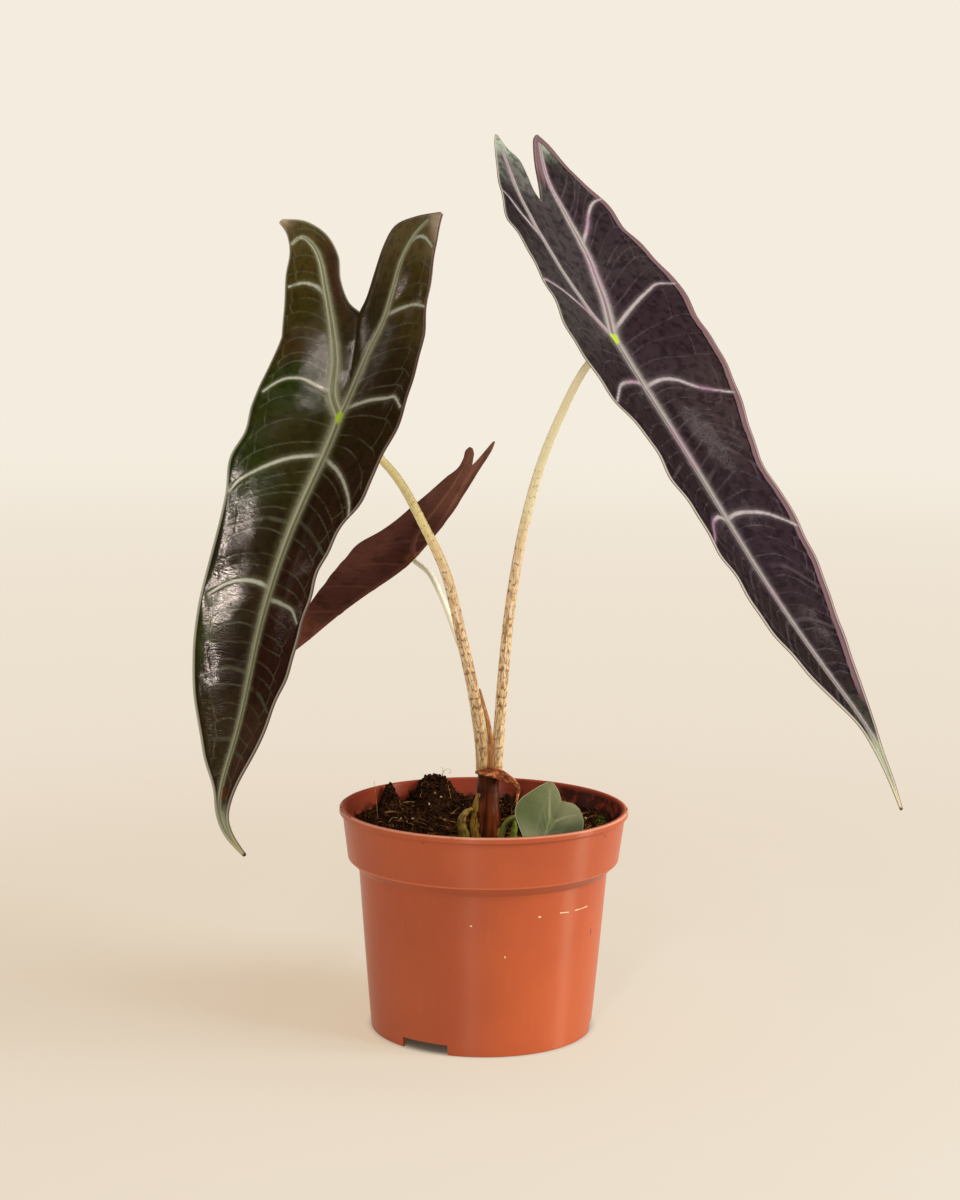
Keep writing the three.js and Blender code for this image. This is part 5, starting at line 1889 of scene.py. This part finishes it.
def young_scale() -> Shoot:
    """The lime-coloured scale that stands beside the young petiole."""
    return Shoot(
        name="young_scale",
        node=None,
        slot="young_petiole_skin",
        points=((12.2, -10.2, 78), (12.4, -10.2, 83), (12.7, -10.2, 87.4), (11.6, -10.2, 90.8)),
        radii=(1.4, 1.3, 0.45),
        finish=PlainSkin(
            "young_scale", start="6d7a24", end="cfae8c", blotch="8d9036", turn=(11.0, 13.0),
            amount=0.5,
        ),
    )


# Pot


def lathe_piece(name: str, profile: Array, sides: int) -> Piece:
    """Turn a closed profile about the Z axis.

    Args:
        name: the new piece's name.
        profile: radius and height of each point, the last one the same as the first.
        sides: number of steps round.

    Returns:
        The welded piece.
    """
    angle = full_turn(sides)
    radius, z = profile[:, 0, None], profile[:, 1, None]
    places = np.stack([radius * np.cos(angle), radius * np.sin(angle), z + 0 * angle], axis=-1)
    piece = grid_piece(name, places)
    weld(piece)
    return piece


@dataclass
class Pot(Part):
    """Round nursery pot with a lip, a straight band and a body that narrows to a ring foot."""

    node: str = "pot"
    slot: str = "pot_plastic"
    height: float = 93.0
    wall: float = 1.35
    lip_radius: float = 60.0
    lip_depth: float = 2.8
    lip_overhang: float = 1.3
    band_foot: Pair = (56.3, 71.8)
    body_top: Pair = (51.7, 67.5)
    foot_radius: float = 46.1
    belly: Pair = (49.2, 36)
    band_middle: float = 80.0
    disc_radius: float = 22.0
    ring_z: float = 4.6
    foot_top: float = 6.6
    notch: Triple = (21.0, 4.3, 9.0)
    notch_turns: tuple[float, ...] = (-150.0, -30.0, 90.0)
    hole_count: int = 6
    hole_radius: float = 3.5
    hole_circle: float = 33.0
    sides: int = 200
    finish: PotPlastic = PotPlastic()

    def body_radius(self, z: Array) -> Array:
        """Outer radius of the body at heights z."""
        radii = np.array([self.foot_radius, self.belly[0], self.body_top[0]])
        curve = NaturalCubic((0, self.belly[1], self.body_top[1]), radii)
        return curve(np.atleast_1d(z))[:, 0]

    @property
    def lip_foot(self) -> float:
        """Height of the lip's lower edge."""
        return self.height - self.lip_depth

    def band_radius(self, z: float) -> float:
        """Outer radius of the band at height z."""
        rise = self.lip_foot - self.band_foot[1]
        slope = (self.lip_radius - self.lip_overhang - self.band_foot[0]) / rise
        return self.band_foot[0] + slope * (z - self.band_foot[1])

    def _body(self, start: float, inwards: float) -> list[Pair]:
        """Profile of the body from a height up, moved inwards."""
        levels = np.array([start, *WALL_LEVELS])
        return [(float(r) - inwards, float(z)) for r, z in zip(self.body_radius(levels), levels)]

    def inside(self) -> list[Pair]:
        """Profile of the inner wall, from the middle of the floor to the lip."""
        floor, inner_step = self.ring_z + self.wall, self.wall * 0.8
        return [
            (0.0, self.wall),
            (self.disc_radius - self.wall, self.wall),
            (self.disc_radius, floor),
            *self._body(floor, self.wall),
            (self.body_top[0] - self.wall, self.body_top[1] + inner_step),
            (self.band_foot[0] - self.wall, self.band_foot[1] + inner_step),
            (self.band_radius(self.band_middle) - self.wall, self.band_middle),
            (self.band_radius(self.lip_foot) - self.wall, self.lip_foot),
            (self.lip_radius - 2.6, self.height - 0.4),
        ]

    def outside(self) -> list[Pair]:
        """Profile of the outer wall, from the middle of the base to the lip."""
        ring = float(self.body_radius(self.ring_z)[0]) - self.wall - 0.2
        return [
            (0.0, 0.0),
            (self.disc_radius, 0.0),
            (self.disc_radius + self.wall, self.ring_z),
            (ring, self.ring_z),
            (self.foot_radius - self.wall, 0.0),
            (self.foot_radius, 0.0),
            *self._body(self.foot_top, 0.0),
            self.body_top,
            self.band_foot,
            (self.band_radius(self.band_middle), self.band_middle),
            (self.band_radius(self.lip_foot), self.lip_foot),
            (self.lip_radius, self.lip_foot + 0.4),
            (self.lip_radius, self.height - 0.5),
            (self.lip_radius - 0.5, self.height),
            (self.lip_radius - 2.0, self.height),
        ]

    def build(self) -> Piece:
        """Model the pot: turn the profile, round its edges, cut the holes and notches."""
        profile = np.array([*self.outside(), *reversed(self.inside()), (0.0, 0.0)])
        piece = lathe_piece("nursery_pot", profile, self.sides)
        rounding = piece.modifiers.new("rounding", "BEVEL")
        rounding.width = 0.35 * MM
        rounding.segments = 3
        rounding.limit_method = "ANGLE"
        rounding.angle_limit = math.radians(20)
        apply_modifiers(piece)
        for turn in np.arange(self.hole_count) + 0.5:
            angle = 2 * math.pi * turn / self.hole_count
            deselect_all()
            bpy.ops.mesh.primitive_cylinder_add(
                vertices=32, radius=self.hole_radius * MM, depth=6 * MM
            )
            drill = bpy.context.object
            x, y = self.hole_circle * math.cos(angle), self.hole_circle * math.sin(angle)
            self._cut(piece, drill, (x, y, self.ring_z + self.wall / 2), 0.0)
        for turn in self.notch_turns:
            deselect_all()
            bpy.ops.mesh.primitive_cube_add(size=MM)
            cutter = bpy.context.object
            width, height, depth = self.notch
            cutter.scale = (width, depth, 2 * height)
            angle = math.radians(turn)
            spot = (self.foot_radius * math.sin(angle), -self.foot_radius * math.cos(angle), 0.0)
            self._cut(piece, cutter, spot, angle)
        shade(piece, 28)
        flat = piece.modifiers.new("flat", "WEIGHTED_NORMAL")
        flat.weight = 100
        flat.keep_sharp = True
        apply_modifiers(piece)
        return piece

    @staticmethod
    def _cut(piece: Piece, tool: Piece, spot: Sequence[float], turn: float) -> None:
        """Cut a tool out of a piece and remove the tool."""
        tool.location = Vector(spot) * MM
        tool.rotation_euler = (0, 0, turn)
        cut = piece.modifiers.new("cut", "BOOLEAN")
        cut.operation = "DIFFERENCE"
        cut.solver = "EXACT"
        cut.object = tool
        apply_modifiers(piece)
        bpy.data.objects.remove(tool, do_unlink=True)


# Peat


@dataclass
class Soil(Part):
    """Peat in the pot: a bed that rises towards the wall, with lumps, crumbs, fibres and specks."""

    pot: Pot
    centre_z: float = 79.0
    wall_z: float = 84.5
    skirt_top: float = 81.0
    steep_height: float = 10.0
    steepness: float = 1.7
    bed_radius: float = 22.0
    gap: float = 0.3
    clods: Points = (
        (-21.5, 47, 10.4, 9.2), (-41, 36, 8.8, 3.9), (-4, 36, 5, 9), (-30, 10, 3, 10),
        (-44, -6, 2, 7), (30, 30, 3.5, 11), (46, 6, 2.5, 7), (24, -40, -4, 12), (-10, -38, 2, 12),
    )
    rings: int = 118
    sides: int = 520
    crumb_count: int = 1900
    fibre_count: int = 190
    crumb_reach: float = 54.0
    speck_reach: float = 50.0
    speck_count: int = 70
    moss_count: int = 90
    clod_crumbs: int = 120
    neck_clearance: float = 6.5
    most_turn: float = 6.28
    seed: int = 21
    node: str = "soil"
    slot: str = "peat"
    finish: Peat = Peat()
    crumbs: Peat = Peat("crumbs", "160b05", "523218", grain=1.4)
    white: Peat = Peat("specks", "a98f66", "dccba8", grain=0.6)
    moss: Peat = Peat("moss", "23270a", "5e6420", grain=1.2)
    fibres: Peat = Peat("fibres", "5e3818", "b07c40", roughness=0.7, grain=0.35)
    straw: Peat = Peat("straws", "a07840", "d8b878", roughness=0.6, grain=0.3)
    specks: Points = (
        (-21.1, 39.0, 0.5), (-18.5, 38.5, 0.4), (-23.6, 36.2, 0.45), (-29.9, 15.5, 0.5),
        (-32.2, 8.0, 0.4), (-34.8, 11.2, 0.5), (-16.7, 25.2, 0.45), (-16.4, 11.2, 0.5),
        (43.0, 12.0, 0.6), (-45.0, -5.0, 1.1),
    )
    straws: tuple[Points, ...] = (
        ((-44.5, 10, 84.0), (-45.4, 10, 94.8), (-46.2, 10, 100.8)),
        ((-34.8, 33.8, 86.4), (-32.4, 35.4, 86.6), (-29.7, 36.5, 86.2)),
        ((-42.3, 18.5, 85.2), (-39.2, 20.0, 85.6), (-36.5, 22.2, 84.8)),
        ((-39.6, 4.2, 84.6), (-38.4, 7.2, 85.6), (-36.0, 10.5, 85.2)),
        (
            (-18.6, 46.6, 94.0), (-18.3, 47.0, 96.0), (-17.4, 47.0, 97.9), (-15.9, 47.2, 98.9),
            (-14.2, 47.0, 97.9), (-15.4, 46.8, 96.9),
        ),
        ((-17.9, 46.8, 95.8), (-17.9, 47.2, 98.4), (-18.6, 47.0, 99.8)),
    )

    def height(self, x: Array, y: Array) -> Array:
        """Height of the smooth soil surface, as in the plain solid."""
        rise = smooth(np.hypot(x, y), self.bed_radius, self.pot.lip_radius - 8)
        z = self.centre_z + (self.wall_z - self.centre_z) * rise
        for cx, cy, high, spread in self.clods:
            apart = ((x - cx) ** 2 + (y - cy) ** 2) / spread**2
            power = self.steepness if high > self.steep_height else 1.0
            z = z + high * np.exp(-(apart**power))
        return z

    def build(self) -> Piece:
        """Model the filling as one closed body."""
        angle = full_turn(self.sides)
        wall = self.pot.band_radius(self.wall_z) - self.pot.wall - self.gap
        rows = []
        for share in np.linspace(0, 1, self.rings):
            x, y = wall * share * np.cos(angle), wall * share * np.sin(angle)
            rows.append(np.stack([x, y, self.height(x, y)], axis=-1))
        top = np.array(rows)
        ragged = 1.6 * tremble(top, 6.0, 1.0) + 1.1 * tremble(top, 1.7, 5.0)
        calm = smooth(np.hypot(top[..., 0], top[..., 1]), wall, wall - 0.7)
        top[..., 2] += ragged.reshape(top.shape[:2]) * calm
        for radius, z in reversed([p for p in self.pot.inside() if p[1] < self.skirt_top]):
            r = max(radius - self.gap, 0.0)
            level = z + self.gap if z < 2 * self.pot.ring_z else z
            rows.append(
                np.stack([r * np.cos(angle), r * np.sin(angle), level + 0 * angle], axis=-1)
            )
        rows[: self.rings] = list(top)
        piece = grid_piece("peat_bed", np.array(rows))
        weld(piece)
        shade(piece, 60)
        return piece

    def dress(self, piece: Piece) -> None:
        """Give the filling its finish, and strew crumbs and fibres on it."""
        super().dress(piece)
        rng = np.random.default_rng(self.seed)
        self._finish(self._crumbs(rng), self.crumbs)
        listed = [(x, y, self._level(x, y) + 0.5, size) for x, y, size in self.specks]
        for _ in range(self.speck_count):
            listed.append((*self._spot(rng, self.speck_reach), rng.uniform(0.18, 0.34)))
        self._finish(self._strew(self._lump("peat_specks"), listed, rng), self.white)
        moss = [(x, y, z, rng.uniform(0.3, 0.8)) for x, y, z in self._tuft(rng)]
        self._finish(self._strew(self._lump("moss"), moss, rng), self.moss)
        self._finish(self._fibres(rng), self.fibres)
        straws = []
        for i, line in enumerate(self.straws):
            curve = EvenCurve(line, centripetal=True)
            straws.append(tube_piece(f"straw_{i}", curve, lambda share: 0.11 - 0.04 * share, 24, 6))
        self._finish(join("peat_straws", straws), self.straw)

    def _finish(self, piece: Piece, finish: Peat) -> None:
        """Give loose bits their finish."""
        finish_piece(piece, finish, self.slot)

    def _level(self, x: float, y: float) -> float:
        """Height of the surface at one place."""
        return float(self.height(np.array(x), np.array(y)))

    def _crumbs(self, rng: np.random.Generator) -> Piece:
        """Strew crumbs all over the surface, and more of them on the first three clods."""
        lump = self._lump("peat_crumbs")
        reach, places = self.crumb_reach, []
        for _ in range(self.crumb_count):
            spot = self._spot(rng, reach)
            places.append((*spot, float(np.clip(rng.lognormal(-0.6, 0.6), 0.22, 2.8))))
        for cx, cy, _, spread in self.clods[:3]:
            for dx, dy in rng.normal(0, 0.55 * spread, (self.clod_crumbs, 2)):
                x, y = np.array((cx + dx, cy + dy)) * min(1.0, reach / math.hypot(cx + dx, cy + dy))
                z = self._level(x, y) + rng.uniform(0.0, 0.8)
                places.append((x, y, z, rng.uniform(0.3, 0.95)))
        return self._strew(lump, places, rng)

    def _spot(self, rng: np.random.Generator, reach: float) -> Triple:
        """Pick a place on the surface that is clear of the neck."""
        while True:
            radius, angle = reach * math.sqrt(rng.uniform()), rng.uniform(0, 2 * math.pi)
            x, y = radius * math.cos(angle), radius * math.sin(angle)
            if math.hypot(x - 1, y) > self.neck_clearance:
                return x, y, self._level(x, y)

    def _tuft(self, rng: np.random.Generator) -> list[Triple]:
        """Pick places for a small tuft of moss at the right."""
        count = self.moss_count
        angle, reach = rng.normal(0.05, 0.12, count), 52.0 - np.abs(rng.normal(0, 3.0, count))
        x, y = reach * np.cos(angle), reach * np.sin(angle)
        z = self.height(x, y) + rng.uniform(0.0, 0.8, count)
        return [tuple(map(float, place)) for place in zip(x, y, z)]

    @staticmethod
    def _lump(name: str) -> Piece:
        """Model one uneven lump with a radius of about 1 mm."""
        deselect_all()
        bpy.ops.mesh.primitive_ico_sphere_add(subdivisions=2, radius=MM)
        lump = bpy.context.object
        lump.name = name
        places = places_of(lump)
        put_places(
            lump, places * (1 + 0.45 * tremble(places, 0.9, 8.0))[:, None] * (1.15, 0.9, 0.75)
        )
        return lump

    def _strew(
        self, lump: Piece, places: Sequence[tuple[float, ...]], rng: np.random.Generator
    ) -> Piece:
        """Copy a lump to places given with a size, and turn each copy its own way."""
        lumps = [lump]
        while len(lumps) < len(places):
            deselect_all()
            for piece in lumps[: len(places) - len(lumps)]:
                piece.select_set(True)
            bpy.ops.object.duplicate(linked=False)
            lumps.extend(bpy.context.selected_objects)
        for piece, (x, y, z, size) in zip(lumps, places):
            piece.location = Vector((x, y, z + size * 0.2)) * MM
            piece.rotation_euler = rng.uniform(0, self.most_turn, 3)
            piece.scale = (size, size, size)
        strewn = join(lump.name, lumps)
        make_active(strewn)
        bpy.ops.object.transform_apply(location=True, rotation=True, scale=True)
        shade(strewn, 50)
        return strewn

    def _fibres(self, rng: np.random.Generator) -> Piece:
        """Model thin bent fibres that lie on the surface."""
        fibres = []
        for i in range(self.fibre_count):
            x, y, _ = self._spot(rng, self.speck_reach)
            turn, length = rng.normal(0, 0.9), rng.uniform(2.5, 10.0)
            line = []
            for f in (-0.5, -0.15, 0.2, 0.5):
                px = x + f * length * math.cos(turn) + rng.uniform(-0.5, 0.5)
                py = y + f * length * math.sin(turn) + rng.uniform(-0.5, 0.5)
                pz = self._level(px, py) + rng.uniform(0.3, 1.5)
                line.append((px, py, pz))
            thick = rng.uniform(0.07, 0.19)
            curve = EvenCurve(line, centripetal=True)
            fibres.append(tube_piece(f"fibre_{i}", curve, lambda share: thick + 0 * share, 10, 5))
        return join("peat_fibres", fibres)


# Studio


@dataclass(frozen=True)
class Lamp:
    """Rectangular lamp: place and size in metres, power in watts, spin in degrees."""

    name: str
    place: Triple
    size: Pair
    power: float
    tint: Triple
    spin: float = 0.0
    glossy: bool = True


@dataclass
class Studio:
    """Pale floor, soft light from the right and the camera of the usual view."""

    backdrop: str = "f4eddf"
    low_backdrop: str = "ecdfcd"
    floor: str = "7b8c95"
    floor_glow: str = "c8ae8f"
    eye: Triple = (-2.68, -943.09, 298.60)
    pitch: float = 7.215
    roll: float = 0.728
    lens: float = 69.335
    ambient: float = 0.48
    sheen: float = 0.05
    daylight: str = "fff6ea"
    sensor: float = 36.0
    aim: Triple = (0, 0, 0.17)
    lamps: tuple[Lamp, ...] = (
        Lamp("key", (1.28, -0.55, 1.12), (0.8, 0.8), 28.0, DAY_TINT, glossy=False),
        Lamp("panel", (1.25, -0.1, 0.3), (0.25, 0.8), 6.5, (1.0, 0.86, 0.66)),
        Lamp("strip", (-0.311, -1.604, 1.027), (0.09, 0.25), 7.0, (1.0, 0.83, 0.74), -38.0),
        Lamp("front", (-0.137, -1.278, 1.51), (0.14, 0.14), 2.0, (1.0, 0.86, 0.8)),
        Lamp("left", (-1.285, 0.375, 0.75), (0.12, 0.12), 0.4, (1.0, 0.82, 0.72)),
        Lamp("top", (0.87, -0.30, 1.385), (0.12, 0.12), 0.35, (1.0, 0.85, 0.82)),
    )

    def build(self) -> None:
        """Set up the floor, the world, the lights and the camera."""
        self._floor()
        self._world()
        for lamp in self.lamps:
            self._hang(lamp)
        self._camera()
        bpy.context.scene.view_settings.view_transform = "Standard"

    def _floor(self) -> None:
        """Lay a wide floor that fades into the backdrop's colour, with a painted contact shadow
        round the pot's foot.
        """
        deselect_all()
        bpy.ops.mesh.primitive_plane_add(size=12)
        floor = bpy.context.object
        floor.name = "studio_floor"
        s = Shader("studio_floor")
        radius = s.length(s.place())
        s.set(base_color=self.floor, roughness=0.9, specular_ior_level=0.1)
        # The floor's glow dims under and just round the pot's foot: a painted contact shadow.
        near = s.scaled(s.fade(radius, 42.0, 49.0), 0.9, 0.1)
        s.set(emission_color=self.floor_glow, emission_strength=near)
        glow = s.nodes.new("ShaderNodeEmission")
        far = s.fade(radius, 300.0, 4200.0)
        s.feed(glow.inputs["Color"], s.mix(far, self.low_backdrop, self.backdrop))
        blend = s.nodes.new("ShaderNodeMixShader")
        s.feed(blend.inputs[0], s.fade(radius, 200.0, 700.0))
        s.feed(blend.inputs[1], s.surface.outputs[0])
        s.feed(blend.inputs[2], glow.outputs[0])
        s.feed(s.nodes["Material Output"].inputs["Surface"], blend.outputs[0])
        floor.data.materials.append(s.material)

    def _world(self) -> None:
        """Show the backdrop's colour to the camera and a dimmer light to the plant."""
        world = bpy.data.worlds.new("studio")
        world.use_nodes = True
        bpy.context.scene.world = world
        nodes, links = world.node_tree.nodes, world.node_tree.links
        path, background = nodes.new("ShaderNodeLightPath"), nodes["Background"]
        last = background.outputs[0]
        background.inputs["Color"].default_value = colour(self.daylight)
        background.inputs["Strength"].default_value = self.ambient
        for ray, code, strength in (
            ("Is Glossy Ray", self.daylight, self.sheen),
            ("Is Camera Ray", self.backdrop, 1.0),
        ):
            other, blend = nodes.new("ShaderNodeBackground"), nodes.new("ShaderNodeMixShader")
            other.inputs["Color"].default_value = colour(code)
            other.inputs["Strength"].default_value = strength
            links.new(path.outputs[ray], blend.inputs[0])
            links.new(last, blend.inputs[1])
            links.new(other.outputs[0], blend.inputs[2])
            last = blend.outputs[0]
        links.new(last, nodes["World Output"].inputs["Surface"])

    def _hang(self, lamp: Lamp) -> None:
        """Hang a lamp that looks at the plant."""
        bpy.ops.object.light_add(type="AREA", location=lamp.place)
        light = bpy.context.object
        light.name = lamp.name
        light.visible_glossy = lamp.glossy
        light.data.shape = "RECTANGLE"
        light.data.size, light.data.size_y = lamp.size
        light.data.energy = lamp.power
        light.data.color = lamp.tint
        turn = (Vector(self.aim) - Vector(lamp.place)).to_track_quat("-Z", "Y").to_matrix()
        turn = turn @ Matrix.Rotation(math.radians(lamp.spin), 3, "Z")
        light.rotation_euler = turn.to_euler()

    def _camera(self) -> None:
        """Place the camera of the usual view."""
        pitch, roll = math.radians(self.pitch), math.radians(self.roll)
        ahead = Vector((0, math.cos(pitch), -math.sin(pitch)))
        right = Vector((1, 0, 0))
        up = right.cross(ahead)
        side = right * math.cos(roll) + up * math.sin(roll)
        top = up * math.cos(roll) - right * math.sin(roll)
        bpy.ops.object.camera_add()
        camera = bpy.context.object
        turn = Matrix((side, top, -ahead)).transposed().to_4x4()
        camera.matrix_world = Matrix.Translation(Vector(self.eye) * MM) @ turn
        camera.data.lens = self.lens
        camera.data.sensor_width = self.sensor
        bpy.context.scene.camera = camera


def main() -> None:
    """Build every piece in order, then the studio."""
    logging.basicConfig(level=logging.INFO, format="%(message)s")
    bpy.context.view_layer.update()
    deselect_all()
    pot = Pot()
    parts = [
        pot, Neck(), *stalks(), *blades(), Soil(pot), DrySheath(), Bract(), Shoot(), young_scale()
    ]
    for part in parts:
        part.dress(part.build())
    Studio().build()
    deselect_all()


if __name__ == "__main__":
    main()
